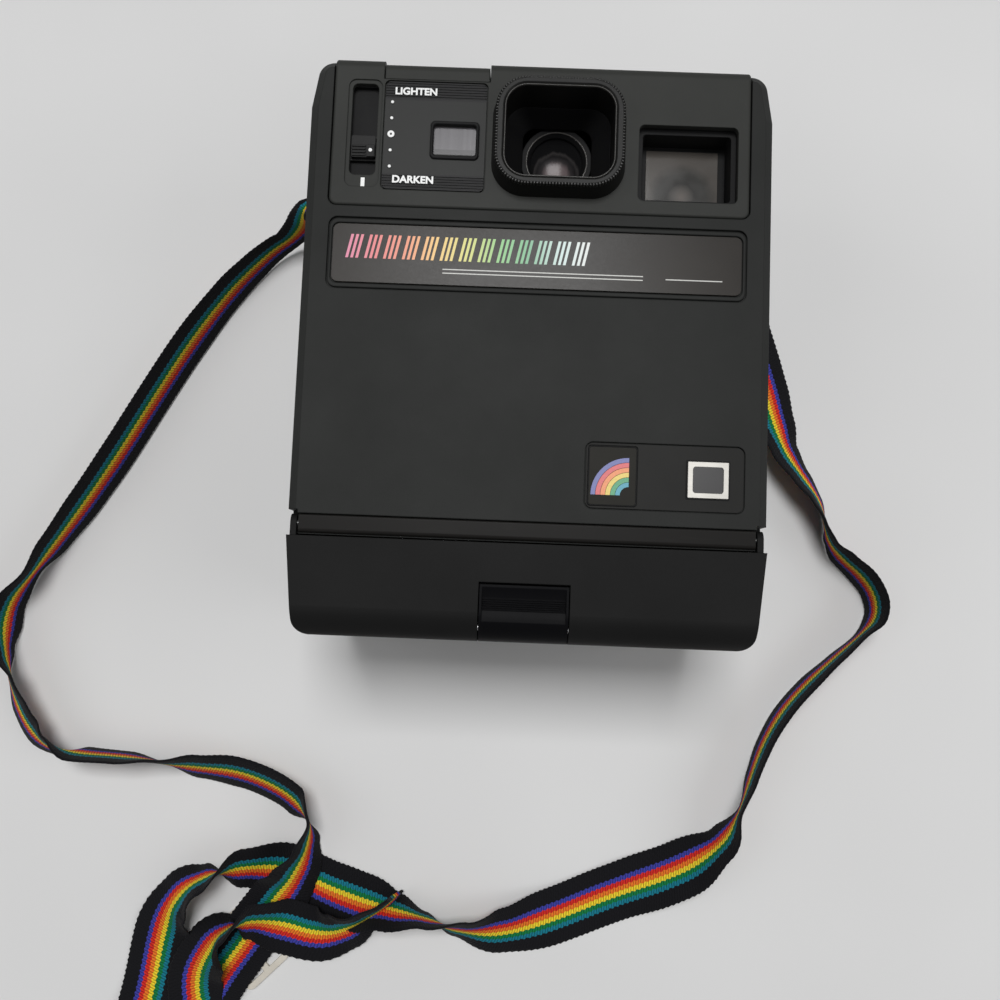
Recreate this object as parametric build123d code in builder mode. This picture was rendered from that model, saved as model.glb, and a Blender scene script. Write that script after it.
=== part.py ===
"""Vertical instant camera with a neck strap, lying on its back with the lens facing up.

Frame: +Z is the lens direction, +X runs to the right of somebody facing the lens,
+Y runs towards the viewfinder end. The origin is the middle of the camera's back.
All lengths are in millimetres.
"""
from build123d import *
from math import atan2, cos, degrees, pi, radians, sin, sqrt, tan
import os

os.makedirs("parts", exist_ok=True)

# ---------------------------------------------------------------- driving dimensions
# Casing
body_width = 145.6
body_height = 181.6
body_depth = 104.0
wall = 2.2
side_bevel = 2.6
corner_radius = 5.0
shoulder_drop = 15.0
shoulder_taper = 2.4
rear_depth = 62.0
crown = 1.0
casing_gap = 0.5

# Lower cover that swings open
base_height = 30.1
base_step = -0.2
base_taper = 3.0
nose_radius = 9.0
base_corner = 5.0
base_inner_corner = 2.0
base_lift = 0.3
door_axis_depth = 3.2
door_axis_rise = 3.8
ear_radius = 2.8
hinge_pin_radius = 1.2
running_gap = 0.05

# Trim band above the lower cover
band_height = 5.6
band_thickness = 1.5
band_sink = 0.4
band_half_width = 69.2
band_round = 1.2
band_gap = 0.9
rail_depth = 3.6
rail_rise = 2.0
hinge_pin_length = 9.0
ear_thickness = 1.9
notch_gap = 0.3
ear_gap = 0.25
exit_slot_width = 2.4

# Control panel at the viewfinder end
panel_half_width = 65.5
panel_drop = 48.1
panel_corner = 2.5
panel_round = 3.2
panel_end_round = 0.8
seam = 0.3
ledge = 1.8
socket_left = -49.7
socket_right = -16.8
socket_front_drop = 5.9
socket_sink = 1.1
socket_front_gap = 0.4
flash_slot_length = 24.0
flash_slot_width = 3.0
flash_slot_depth = 14.0
contact_pitch = 5.0
contact_width = 2.4
contact_thickness = 0.8
contact_depth = 15.5
contact_block_drop = 8.0
contact_block_thickness = 1.5
contact_block_length = 26.0
contact_block_width = 5.0

# Exposure slider
slider_x = -55.6
slot_width = 8.2
slot_length = 29.7
slot_drop = 8.5
slot_frame = 1.2
slot_frame_sink = 0.5
index_pad = 3.9
knob_width = 7.6
knob_length = 7.1
knob_drop = 25.3
knob_flange = 0.9
knob_flange_thickness = 1.3
track_wall = 1.2
track_gap = 0.3
slot_corner = 1.8
slot_frame_corner = 2.4
guide_drop = 5.6
guide_thickness = 2.0
guide_half_width = 3.0
guide_reach = 4.0
knob_corner = 0.6
knob_sink = 0.7
knob_rib_pitch = 1.0
knob_rib_width = 0.5
dot_pitch = 5.22

# Scale plate and photocell window
plate_left = -49.3
plate_right = -17.4
plate_drop = 7.6
plate_length = 34.9
plate_thickness = 0.9
plate_corner = 1.6
rib_pitch = 0.85
rib_width = 0.45
rib_depth = 0.25
header_length = 5.6
footer_length = 4.6
cell_x = -27.0
cell_drop = 26.2
cell_width = 13.4
cell_height = 9.8
cell_border = 1.0
cell_corner = 0.8
cell_glass_thickness = 0.9

# Taking lens and its hood
lens_x = 5.6
lens_drop = 25.4
hood_rise = 8.0
hood_base_width = 41.8
hood_base_height = 36.4
hood_top_width = 39.2
hood_top_height = 33.8
hood_mouth_width = 33.4
hood_mouth_height = 28.5
hood_corner = 9.8
hood_edge = 0.5
hood_lip = 1.0
hood_mouth_corner = 6.6
hood_spigot = 7.0
hood_spigot_wall = 1.4
baffle_mouth_width = 22.4
baffle_mouth_height = 20.6
baffle_depth = 12.6
baffle_wall = 1.2
lens_radius = 9.4
lens_sink = 15.0
lens_thickness = 4.4
lens_crown = 1.6
lens_seat = 0.35
retainer_radius = 11.6
retainer_height = 2.0
barrel_length = 9.6
post_height = 3.4
post_radius = 1.8
rear_lens_radius = 7.2
rear_lens_thickness = 2.6
aperture_radius = 4.2

# Shutter
shutter_size = 44.0
shutter_plate_thickness = 1.6
blade_thickness = 0.35
blade_width = 11.0
blade_pivot_x = 15.0
blade_pivot_y = 11.0
blade_pivot_radius = 1.2
blade_lift = 0.8
blade_step = 1.2
blade_shift = 1.5
blade_tail = 9.0
shutter_corner = 3.0

# Viewfinder
finder_x = 46.2
finder_drop = 31.2
finder_width = 31.0
finder_height = 24.6
finder_corner = 1.8
finder_step = 1.6
finder_step_depth = 3.4
finder_glass_width = 23.2
finder_glass_height = 19.0
finder_glass_depth = 12.5
finder_wall = 1.2
finder_lens_thickness = 2.0
eyepiece_radius = 9.0
eye_lens_radius = 6.5
eyepiece_sink = 0.6

# Nameplate and badges
nameplate_half_width = 63.4
nameplate_top_drop = 54.1
nameplate_height = 18.5
nameplate_thickness = 0.8
nameplate_border_x = 1.6
nameplate_border_y = 2.2
nameplate_recess = 1.0
nameplate_corner = 2.0
badge_left = 16.9
badge_right = 65.5
badge_rise = 11.3
badge_height = 20.6
badge_recess = 0.8
badge_corner = 2.5
badge_gap = 0.4
badge_thickness = 0.7
tile_width = 15.2
tile_height = 18.6
tile_inset = 1.0
tile_corner = 1.0
tile_gap = 0.25
tile_thickness = 0.5
metal_badge_x = 54.3
metal_badge_drop = 0.3
metal_badge_width = 12.3
metal_badge_height = 11.0
metal_badge_thickness = 0.7
metal_badge_frame = 1.5

# Film and light path
film_x = 5.6
film_plane = 13.0
film_width = 97.0
spring_reach = 22.0
spring_leaf = 0.4
spring_width = 8.0
spring_offset = 24.0
spring_foot = 4.0
spring_touch = 0.02
pack_width = 107.0
pack_finder_gap = 2.0
pack_seat = 0.3
pack_corner = 1.0
window_rise = 4.0
window_sink = 1.2
window_margin = 15.0
exit_half_width = 0.6
exit_length = 5.0
exit_margin = 2.0
pack_thickness = 16.0
pack_fit = 0.5
tray_wall = 1.5
window_width = 91.0
box_wall = 1.5
box_half_width = 46.0
tower_half_width = 25.5
mirror_thickness = 2.0
mirror_margin = 3.0
knee_height = 70.0
mirror_foot_drop = 62.7
mirror_foot_height = 86.0
mirror_head_drop = 3.0
box_drop = 1.3
tower_gap = 0.4
heel_rise = 1.6
heel_top_rise = 18.6

# Film drive in the lower cover
roller_radius = 4.5
roller_gap = 0.2
roller_length = 104.0
roller_drop = 9.3
journal_radius = 1.5
frame_plate = 1.6
frame_gap = 2.2
frame_rise = 1.5
frame_margin = 2.0
roller_spring_reach = 6.0
roller_spring_foot = 1.0
roller_spring_gap = 0.1
roller_spring_inset = 0.3
roller_spring_width = 1.4
gear_module = 0.65
roller_teeth = 14
idler_teeth = 34
gear_width = 3.6
gear_backlash = 0.10
gear_gap = 0.5
tooth_share = 0.40
tooth_tip = 0.6
tooth_root = 1.1
tooth_slope = 20.0
shaft_radius = 1.0
shaft_reach = 8.0
idler_drop = 5.5
pinion_drop = 4.5
plate_foot = 25.0
motor_radius = 10.5
motor_length = 34.0

# Latch of the lower cover
latch_half_width = 13.5
latch_top = 12.0
latch_top_gap = 0.6
latch_depth = 15.6
latch_hub_radius = 2.2
latch_boss_length = 3.5
latch_scoop_depth = 1.1
latch_scoop_length = 11.4
latch_scoop_drop = 0.8
latch_scoop_margin = 0.8
latch_leaf_drop = 6.0
latch_thickness = 2.0
latch_gap = 0.3
latch_pin_radius = 1.0
latch_pin_drop = 25.6
latch_pin_depth = 4.4
latch_rib_count = 6
latch_rib_pitch = 0.64
latch_rib_drop = 4.2
latch_rib_sink = 0.65

# Battery, board and electrical pieces
battery_height = 48.5
battery_width = 35.6
battery_thickness = 9.2
battery_gap = 0.5
battery_back = 6.6
cradle_wall = 1.5
contact_height = 1.2
terminal_width = 5.0
terminal_length = 6.0
battery_corner = 1.2
nick_radius = 0.8
nick_length = 16.0
nick_rise = 4.0
hatch_margin = 1.4
hatch_thickness = 2.0
hatch_gap = 0.25
hatch_pin_radius = 0.7
hatch_pin_length = 1.2
board_thickness = 1.6
board_length = 70.0
board_depth = 30.0
board_drop = 1.1
board_gap = 3.0
capacitor_radius = 5.0
capacitor_length = 22.0
capacitor_rise = 18.0
chip_length = 12.0
chip_width = 12.0
chip_height = 3.0
chip_drop = 4.0
coil_radius = 4.5
coil_height = 8.0
coil_drop = 24.0

# Shutter button on the end face
button_x = -57.0
button_width = 9.0
button_length = 18.0
button_height_above_back = 84.0
button_stem_radius = 1.6
button_thickness = 4.5
button_flange = 1.0
button_skirt = 3.0
button_edge = 0.6
stem_tail = 0.6
spring_wire = 0.5
spring_coils = 5

# Strap lugs and strap
lug_drop = 27.0
lug_rise = 52.0
lug_length = 20.0
lug_reach = 4.6
lug_thickness = 5.0
lug_slot_length = 16.5
lug_slot_width = 3.0
strap_thickness = 4.0
buckle_length = 21.0
buckle_width = 28.0
buckle_thickness = 1.4
buckle_bar = 2.6
buckle_side = 2.4
buckle_corner = 2.6
buckle_x = -101.0
buckle_y = -217.0
buckle_lift = 0.05
buckle_turn = 44.6

# Screws
screw_radius = 1.5
screw_head_radius = 2.8
screw_head_height = 1.8
screw_length = 12.0
screw_grip = 6.0

# ---------------------------------------------------------------- derived places
half_width = body_width / 2
half_height = body_height / 2
shell_top = half_height - crown
base_top = base_height - half_height
button_back = button_height_above_back - button_length / 2
button_front = button_height_above_back + button_length / 2
casing_bottom = base_top + casing_gap
door_axis_y = base_top + door_axis_rise
door_axis_z = body_depth - door_axis_depth
front_inner = body_depth - wall
panel_bottom = half_height - panel_drop
lens_y = half_height - lens_drop
finder_y = half_height - finder_drop
slot_top = half_height - slot_drop
slot_y = slot_top - slot_length / 2
plate_x = (plate_left + plate_right) / 2
plate_width = plate_right - plate_left
plate_y = half_height - plate_drop - plate_length / 2
cell_y = half_height - cell_drop
nameplate_y = half_height - nameplate_top_drop - nameplate_height / 2
badge_x = (badge_left + badge_right) / 2
badge_width = badge_right - badge_left
badge_y = base_top + badge_rise + badge_height / 2
metal_badge_y = badge_y - metal_badge_drop
band_bottom = base_top + band_gap
band_y = band_bottom + band_height / 2
roller_y = base_top - roller_drop
drive_z = film_plane + roller_radius + roller_gap / 2
press_z = film_plane - roller_radius - roller_gap / 2
idler_y = roller_y - idler_drop
pinion_y = roller_y - pinion_drop


def casing_outline(inset=0.0, bottom=None):
    """Half-turned camera outline in the sketch plane, its shoulders drawn in a little."""
    low = casing_bottom if bottom is None else bottom
    side = half_width - inset
    top = shell_top - inset
    shoulder = shell_top - shoulder_drop
    with BuildSketch() as outline:
        with BuildLine():
            Polyline(
                (-side, low),
                (side, low),
                (side, shoulder),
                (side - shoulder_taper, top),
                (shoulder_taper - side, top),
                (-side, shoulder),
                close=True,
            )
        make_face()
        fillet(outline.vertices().group_by(Axis.Y)[-1], corner_radius - min(inset, 3.0))
    return outline.sketch


outer_outline = casing_outline()
inner_outline = casing_outline(wall, casing_bottom + wall)


def rounded_plate(width, height, radius, centre, bottom, top):
    """Flat block with rounded upright corners, from one height to another."""
    with BuildPart() as block:
        with BuildSketch(Plane.XY.offset(bottom)):
            with Locations(centre):
                RectangleRounded(width, height, radius)
        extrude(amount=top - bottom)
    return block.part


def block_between(low, high):
    """Square-cornered block given by its lowest and highest corners."""
    size = [b - a for a, b in zip(low, high)]
    middle = [(a + b) / 2 for a, b in zip(low, high)]
    return Pos(*middle) * Box(*size, mode=Mode.PRIVATE)


def rod_along_x(x_start, x_end, y, z, radius):
    """Round rod parallel to the X axis."""
    return Plane.YZ.offset(x_start) * Pos(y, z) * Cylinder(
        radius, x_end - x_start, align=(Align.CENTER, Align.CENTER, Align.MIN), mode=Mode.PRIVATE
    )


# ---------------------------------------------------------------- rear housing
pack_back = film_plane - pack_thickness / 2
pack_front = film_plane + pack_thickness / 2
tray_half_width = pack_width / 2 + pack_fit + tray_wall
screw_x = half_width - 2 * wall - screw_radius + 0.5
screw_high = shell_top - shoulder_drop + 3.0
screw_low = casing_bottom + screw_head_radius + 3.5
screw_places = [(x, y) for x in (-screw_x, screw_x) for y in (screw_low, screw_high)]
battery_bottom = screw_low + screw_head_radius + wall + cradle_wall + 2 * battery_gap
hatch_low = battery_bottom - hatch_margin
hatch_high = battery_bottom + battery_height + hatch_margin
hatch_back = battery_back - hatch_margin
hatch_front = battery_back + battery_width + hatch_margin
hatch_axis_x = hatch_thickness / 2 - half_width
hatch_axis_z = hatch_front - hatch_gap - hatch_thickness / 2
eyepiece_flange = eyepiece_radius + 2.0
battery_top = battery_bottom + battery_height
lug_y = half_height - lug_drop

with BuildPart() as rear_housing:
    with BuildSketch():
        add(outer_outline)
    extrude(amount=rear_depth)
    chamfer(rear_housing.faces().sort_by(Axis.Z)[0].edges(), 1.2)
    with BuildSketch(Plane.XY.offset(wall)):
        add(inner_outline)
    extrude(amount=rear_depth, mode=Mode.SUBTRACT)
    # Screw posts up to the parting line
    with BuildSketch():
        with Locations(screw_places):
            Circle(screw_head_radius + wall)
    extrude(amount=rear_depth)
    with Locations(*[(x, y, 0) for x, y in screw_places]):
        Cylinder(
            screw_head_radius + running_gap,
            rear_depth - screw_grip,
            align=(Align.CENTER, Align.CENTER, Align.MIN),
            mode=Mode.SUBTRACT,
        )
        Cylinder(
            screw_radius + running_gap,
            rear_depth * 2,
            align=(Align.CENTER, Align.CENTER, Align.MIN),
            mode=Mode.SUBTRACT,
        )
    # Way in for the film pack at the lower end
    add(
        block_between(
            (film_x - pack_width / 2 - pack_fit, casing_bottom - wall, pack_back - 2 * pack_fit),
            (film_x + pack_width / 2 + pack_fit, casing_bottom + 2 * wall, pack_front + pack_fit),
        ),
        mode=Mode.SUBTRACT,
    )
    # Eyepiece hole
    with BuildSketch():
        with Locations((finder_x, finder_y)):
            Circle(eyepiece_radius)
    extrude(amount=2 * wall, mode=Mode.SUBTRACT)
    # Shelves that hold the battery at its foot, back and head
    cradle_inner = wall - half_width + battery_thickness + 3 * battery_gap
    shelf_foot = battery_bottom - battery_gap
    shelf_head = battery_top + contact_height
    for shelf_low, shelf_high, shelf_front in (
        (shelf_foot - cradle_wall, shelf_foot, battery_back + battery_width),
        (shelf_foot, shelf_head, battery_back - battery_gap),
        (shelf_head, shelf_head + cradle_wall, battery_back + battery_width),
    ):
        add(
            block_between(
                (wall - half_width, shelf_low, wall),
                (cradle_inner, shelf_high, shelf_front),
            )
        )
    # Battery hatch opening in the side wall
    add(
        block_between(
            (-half_width - wall, hatch_low, hatch_back),
            (wall - half_width, hatch_high, hatch_front),
        ),
        mode=Mode.SUBTRACT,
    )
    with Locations((hatch_axis_x, (hatch_low + hatch_high) / 2, hatch_axis_z)):
        Cylinder(
            hatch_pin_radius + running_gap,
            hatch_high - hatch_low + 2 * hatch_pin_length + 2 * hatch_gap,
            rotation=(90, 0, 0),
            mode=Mode.SUBTRACT,
        )
rear_housing.part.label = "rear_housing"
export_step(rear_housing.part, "parts/rear_housing.step")

# ---------------------------------------------------------------- front cover
band_floor = body_depth - band_sink - band_thickness
rail_back = band_floor - rail_depth
rail_top = band_y + band_height / 2 + rail_rise
notch_inner = band_half_width + ear_gap
pin_outer = band_half_width + 2 * ear_gap + ear_thickness - notch_gap
notch_top = door_axis_y + door_axis_rise + notch_gap
notch_back = door_axis_z - door_axis_rise - ear_radius

with BuildPart() as front_cover:
    with BuildSketch(Plane.XY.offset(rear_depth)):
        add(outer_outline)
    extrude(amount=body_depth - rear_depth)
    sides = [
        edge
        for edge in front_cover.faces().sort_by(Axis.Z)[-1].edges()
        if abs(edge.center().X) > panel_half_width
    ]
    chamfer(sides, side_bevel)
    with BuildSketch(Plane.XY.offset(rear_depth)):
        add(inner_outline)
    extrude(amount=front_inner - rear_depth, mode=Mode.SUBTRACT)
    # Rail behind the trim band, which also carries the hinge pins
    add(
        block_between(
            (wall - half_width, casing_bottom, rail_back), (half_width - wall, rail_top, front_inner)
        )
    )
    # Ledge that the control panel sits on
    add(
        block_between(
            (-panel_half_width - 1, panel_bottom - 1, front_inner - ledge),
            (panel_half_width + 1, shell_top - wall, front_inner),
        )
    )
    # Screw bosses
    with BuildSketch(Plane.XY.offset(rear_depth)):
        with Locations(screw_places):
            Circle(screw_radius + wall)
    extrude(amount=screw_length)
    with Locations(*[(x, y, rear_depth) for x, y in screw_places]):
        Cylinder(
            screw_radius,
            screw_length,
            align=(Align.CENTER, Align.CENTER, Align.MIN),
            mode=Mode.SUBTRACT,
        )
    add(
        block_between(
            (ledge - panel_half_width, panel_bottom + ledge, front_inner - 2 * ledge),
            (panel_half_width - ledge, shell_top + wall, body_depth + 1),
        ),
        mode=Mode.SUBTRACT,
    )
    add(
        rounded_plate(
            2 * (panel_half_width + seam),
            2 * panel_drop,
            panel_corner + seam,
            (0, panel_bottom - seam + panel_drop),
            front_inner,
            body_depth + 1,
        ),
        mode=Mode.SUBTRACT,
    )
    add(
        block_between(
            (-panel_half_width - seam, shell_top - wall - crown, rear_depth - 1),
            (panel_half_width + seam, half_height + 1, body_depth + 1),
        ),
        mode=Mode.SUBTRACT,
    )
    # Recess for the nameplate
    add(
        rounded_plate(
            2 * (nameplate_half_width + nameplate_border_x),
            nameplate_height + 2 * nameplate_border_y,
            nameplate_corner + nameplate_border_x / 2,
            (0, nameplate_y),
            body_depth - nameplate_recess,
            body_depth + 1,
        ),
        mode=Mode.SUBTRACT,
    )
    # Recess for the badges
    add(
        rounded_plate(
            badge_width,
            badge_height,
            badge_corner,
            (badge_x, badge_y),
            body_depth - badge_recess,
            body_depth + 1,
        ),
        mode=Mode.SUBTRACT,
    )
    # Step for the trim band and notches for the ears of the lower cover
    add(
        block_between(
            (-half_width, casing_bottom - 1, band_floor),
            (half_width, band_y + band_height / 2 + seam, body_depth + 1),
        ),
        mode=Mode.SUBTRACT,
    )
    for side in (-1, 1):
        inner, outer = sorted((side * notch_inner, side * (half_width + 1)))
        add(
            block_between((inner, casing_bottom - 1, notch_back), (outer, notch_top, body_depth + 1)),
            mode=Mode.SUBTRACT,
        )
    for pin_start in (-pin_outer, pin_outer - hinge_pin_length):
        add(
            rod_along_x(pin_start, pin_start + hinge_pin_length, door_axis_y, door_axis_z, hinge_pin_radius),
            mode=Mode.SUBTRACT,
        )
front_cover.part.label = "front_cover"
export_step(front_cover.part, "parts/front_cover.step")

# ---------------------------------------------------------------- trim band and hinge pins
with BuildPart() as trim_band:
    add(
        block_between(
            (-band_half_width, band_bottom, band_floor),
            (band_half_width, band_bottom + band_height, body_depth - band_sink),
        )
    )
    fillet(trim_band.faces().sort_by(Axis.Z)[-1].edges().filter_by(Axis.X).sort_by(Axis.Y)[0], band_round)
    fillet(trim_band.faces().sort_by(Axis.Z)[-1].edges().filter_by(Axis.X).sort_by(Axis.Y)[-1], 0.5)
trim_band.part.label = "trim_band"
export_step(trim_band.part, "parts/trim_band.step")

with BuildPart() as hinge_pins:
    add(rod_along_x(-pin_outer, hinge_pin_length - pin_outer, door_axis_y, door_axis_z, hinge_pin_radius))
    add(rod_along_x(pin_outer - hinge_pin_length, pin_outer, door_axis_y, door_axis_z, hinge_pin_radius))
hinge_pins.part.label = "hinge_pins"
export_step(hinge_pins.part, "parts/hinge_pins.step")

# ---------------------------------------------------------------- control panel
slot_bottom = slot_top - slot_length
frame_bottom = slot_bottom - index_pad
hood_hole_width = hood_mouth_width + 2 * hood_spigot_wall
hood_hole_height = hood_mouth_height + 2 * hood_spigot_wall
hood_hole_corner = hood_mouth_corner + hood_spigot_wall

with BuildPart() as control_panel:
    with BuildSketch(Plane.YZ.offset(-panel_half_width)) as panel_profile:
        with BuildLine():
            Polyline(
                (panel_bottom, front_inner),
                (half_height - wall, front_inner),
                (half_height - wall, rear_depth),
                (half_height, rear_depth),
                (half_height, body_depth),
                (panel_bottom, body_depth),
                close=True,
            )
        make_face()
        fillet(panel_profile.vertices().group_by(Axis.X)[-1].sort_by(Axis.Y)[-1], panel_round)
    extrude(amount=2 * panel_half_width)
    fillet(control_panel.edges().filter_by(Axis.Z).group_by(Axis.Y)[0], panel_corner)
    # Softened ends where the panel turns over the end face
    end_faces = control_panel.faces().filter_by(Axis.X)
    fillet(end_faces.edges().filter_by(Axis.Z).group_by(Axis.Y)[-1], panel_end_round)
    # Corner of the socket cover
    add(
        block_between(
            (socket_left - seam, shell_top - socket_front_drop, rear_depth - 1),
            (socket_right + seam, half_height + 1, body_depth + 1),
        ),
        mode=Mode.SUBTRACT,
    )
    # Sunk frame and open slot of the exposure slider
    add(
        rounded_plate(
            slot_width + 2 * slot_frame,
            slot_top - frame_bottom + slot_frame,
            slot_frame_corner,
            (slider_x, (slot_top + slot_frame + frame_bottom) / 2),
            body_depth - slot_frame_sink,
            body_depth + 1,
        ),
        mode=Mode.SUBTRACT,
    )
    add(
        rounded_plate(
            slot_width, slot_length, slot_corner, (slider_x, slot_y), front_inner - 1, body_depth + 1
        ),
        mode=Mode.SUBTRACT,
    )
    # Recess of the scale plate and the photocell window behind it
    add(
        rounded_plate(
            plate_width + 2 * seam,
            plate_length + 2 * seam,
            plate_corner,
            (plate_x, plate_y),
            body_depth - plate_thickness,
            body_depth + 1,
        ),
        mode=Mode.SUBTRACT,
    )
    add(
        rounded_plate(cell_width, cell_height, cell_corner, (cell_x, cell_y), front_inner - 1, body_depth),
        mode=Mode.SUBTRACT,
    )
    # Holes for the lens hood and the viewfinder
    add(
        rounded_plate(
            hood_hole_width,
            hood_hole_height,
            hood_hole_corner,
            (lens_x, lens_y),
            front_inner - 1,
            body_depth + 1,
        ),
        mode=Mode.SUBTRACT,
    )
    add(
        rounded_plate(
            finder_width, finder_height, finder_corner, (finder_x, finder_y), front_inner - 1, body_depth + 1
        ),
        mode=Mode.SUBTRACT,
    )
    # Hole for the shutter button in the end face
    add(
        block_between(
            (button_x - button_width / 2 - seam, shell_top - 2 * wall, button_back - seam),
            (button_x + button_width / 2 + seam, half_height + 1, button_front + seam),
        ),
        mode=Mode.SUBTRACT,
    )
control_panel.part.label = "control_panel"
export_step(control_panel.part, "parts/control_panel.step")

# ---------------------------------------------------------------- socket cover for an add-on flash
socket_top = half_height - socket_sink
socket_low = shell_top - socket_front_drop + seam
socket_front = body_depth - socket_front_gap
socket_x = (socket_left + socket_right) / 2
with BuildPart() as flash_socket:
    with BuildSketch(Plane.YZ.offset(socket_left)) as socket_profile:
        with BuildLine():
            Polyline(
                (socket_low, front_inner - socket_front_gap),
                (half_height - wall - crown, front_inner - socket_front_gap),
                (half_height - wall - crown, rear_depth),
                (socket_top, rear_depth),
                (socket_top, socket_front),
                (socket_low, socket_front),
                close=True,
            )
        make_face()
        fillet(socket_profile.vertices().group_by(Axis.X)[-1].sort_by(Axis.Y)[-1], panel_round - 0.6)
    extrude(amount=socket_right - socket_left)
    # Slot for the blade of the flash
    with Locations((socket_x, socket_top, body_depth - flash_slot_depth)):
        Box(flash_slot_length, 4 * wall, flash_slot_width, mode=Mode.SUBTRACT)
flash_socket.part.label = "flash_socket"
export_step(flash_socket.part, "parts/flash_socket.step")

contact_front = body_depth - contact_depth
contact_foot = socket_top - contact_block_drop
with BuildPart() as flash_contacts:
    for step in (-1.5, -0.5, 0.5, 1.5):
        contact_x = socket_x + contact_pitch * step
        add(
            block_between(
                (contact_x - contact_width / 2, contact_foot, contact_front - contact_thickness),
                (contact_x + contact_width / 2, half_height - wall - crown, contact_front),
            )
        )
    add(
        block_between(
            (
                socket_x - contact_block_length / 2,
                contact_foot - contact_block_thickness,
                contact_front - contact_block_width / 2,
            ),
            (socket_x + contact_block_length / 2, contact_foot, contact_front + contact_block_width / 2),
        )
    )
flash_contacts.part.label = "flash_contacts"
export_step(flash_contacts.part, "parts/flash_contacts.step")

# ---------------------------------------------------------------- scale plate and photocell window
with BuildPart() as scale_plate:
    add(
        rounded_plate(
            plate_width,
            plate_length,
            plate_corner,
            (plate_x, plate_y),
            body_depth - plate_thickness,
            body_depth - 0.1,
        )
    )
    add(
        rounded_plate(
            cell_width + 2 * cell_border,
            cell_height + 2 * cell_border,
            1.2,
            (cell_x, cell_y),
            body_depth - 0.1,
            body_depth + 0.3,
        )
    )
    add(
        rounded_plate(cell_width, cell_height, cell_corner, (cell_x, cell_y), front_inner, body_depth + 1),
        mode=Mode.SUBTRACT,
    )
    # Fine ribs across the head and the foot of the plate
    plate_high = plate_y + plate_length / 2
    plate_low = plate_y - plate_length / 2
    header_ribs = [plate_high - 0.7 - rib_pitch * n for n in range(int(header_length / rib_pitch))]
    footer_ribs = [plate_low + 0.7 + rib_pitch * n for n in range(int(footer_length / rib_pitch))]
    for rib_y in header_ribs + footer_ribs:
        add(
            block_between(
                (plate_left - 1, rib_y - rib_width / 2, body_depth - 0.1 - rib_depth),
                (plate_right + 1, rib_y + rib_width / 2, body_depth + 1),
            ),
            mode=Mode.SUBTRACT,
        )
scale_plate.part.label = "scale_plate"
export_step(scale_plate.part, "parts/scale_plate.step")

with BuildPart() as photocell_window:
    add(
        rounded_plate(
            cell_width,
            cell_height,
            cell_corner,
            (cell_x, cell_y),
            front_inner,
            front_inner + cell_glass_thickness,
        )
    )
photocell_window.part.label = "photocell_window"
export_step(photocell_window.part, "parts/photocell_window.step")

# ---------------------------------------------------------------- exposure slider and its track
track_floor = front_inner - knob_flange_thickness - track_gap
track_half = slot_width / 2 + knob_flange + track_gap
knob_centre = half_height - knob_drop - knob_length / 2
travel_up = 3 * dot_pitch
travel_down = dot_pitch
flange_length = knob_length + 1.0
track_high = knob_centre + travel_up + flange_length / 2 + track_gap
track_low = knob_centre - travel_down - flange_length / 2 - track_gap
guide_high = half_height - wall - button_thickness - guide_drop
guide_low = guide_high - guide_thickness

with BuildPart() as slider_track:
    add(
        block_between(
            (slider_x - track_half - track_wall, track_low - track_wall, track_floor - track_wall),
            (slider_x + track_half + track_wall, track_high + track_wall, front_inner),
        )
    )
    add(
        block_between(
            (slider_x - track_half, track_low, track_floor), (slider_x + track_half, track_high, body_depth)
        ),
        mode=Mode.SUBTRACT,
    )
    # Arm that guides the stem of the shutter button
    add(
        block_between(
            (button_x - guide_half_width, guide_low, button_height_above_back - guide_reach),
            (button_x + guide_half_width, guide_high, track_floor - track_wall),
        )
    )
    with Locations((button_x, (guide_low + guide_high) / 2, button_height_above_back)):
        Cylinder(
            button_stem_radius + running_gap,
            2 * (guide_high - guide_low),
            rotation=(90, 0, 0),
            mode=Mode.SUBTRACT,
        )
slider_track.part.label = "slider_track"
export_step(slider_track.part, "parts/slider_track.step")

with BuildPart() as exposure_slider:
    add(
        block_between(
            (slider_x - slot_width / 2 - knob_flange, knob_centre - flange_length / 2, track_floor + 0.1),
            (slider_x + slot_width / 2 + knob_flange, knob_centre + flange_length / 2, front_inner - 0.1),
        )
    )
    add(
        rounded_plate(
            knob_width,
            knob_length,
            knob_corner,
            (slider_x, knob_centre),
            track_floor + 0.2,
            body_depth - knob_sink,
        )
    )
    # Finger ribs on the left and the pointer block on the right
    for n in range(4):
        rib_y = knob_centre - knob_length / 2 + knob_corner + n * knob_rib_pitch
        add(
            block_between(
                (slider_x - knob_width / 2 + 0.3, rib_y - knob_rib_width / 2, body_depth - 0.8),
                (slider_x + 0.8, rib_y + knob_rib_width / 2, body_depth - 0.3),
            )
        )
    add(
        block_between(
            (slider_x + 1.2, knob_centre - knob_length / 2 + 0.1, body_depth - 0.8),
            (slider_x + knob_width / 2 - 0.2, knob_centre + 0.4, body_depth - 0.1),
        )
    )
exposure_slider.part.label = "exposure_slider"
export_step(exposure_slider.part, "parts/exposure_slider.step")

# ---------------------------------------------------------------- nameplate and badges
with BuildPart() as nameplate:
    add(
        rounded_plate(
            2 * nameplate_half_width,
            nameplate_height,
            nameplate_corner,
            (0, nameplate_y),
            body_depth - nameplate_recess,
            body_depth - nameplate_recess + nameplate_thickness,
        )
    )
nameplate.part.label = "nameplate"
export_step(nameplate.part, "parts/nameplate.step")

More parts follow.
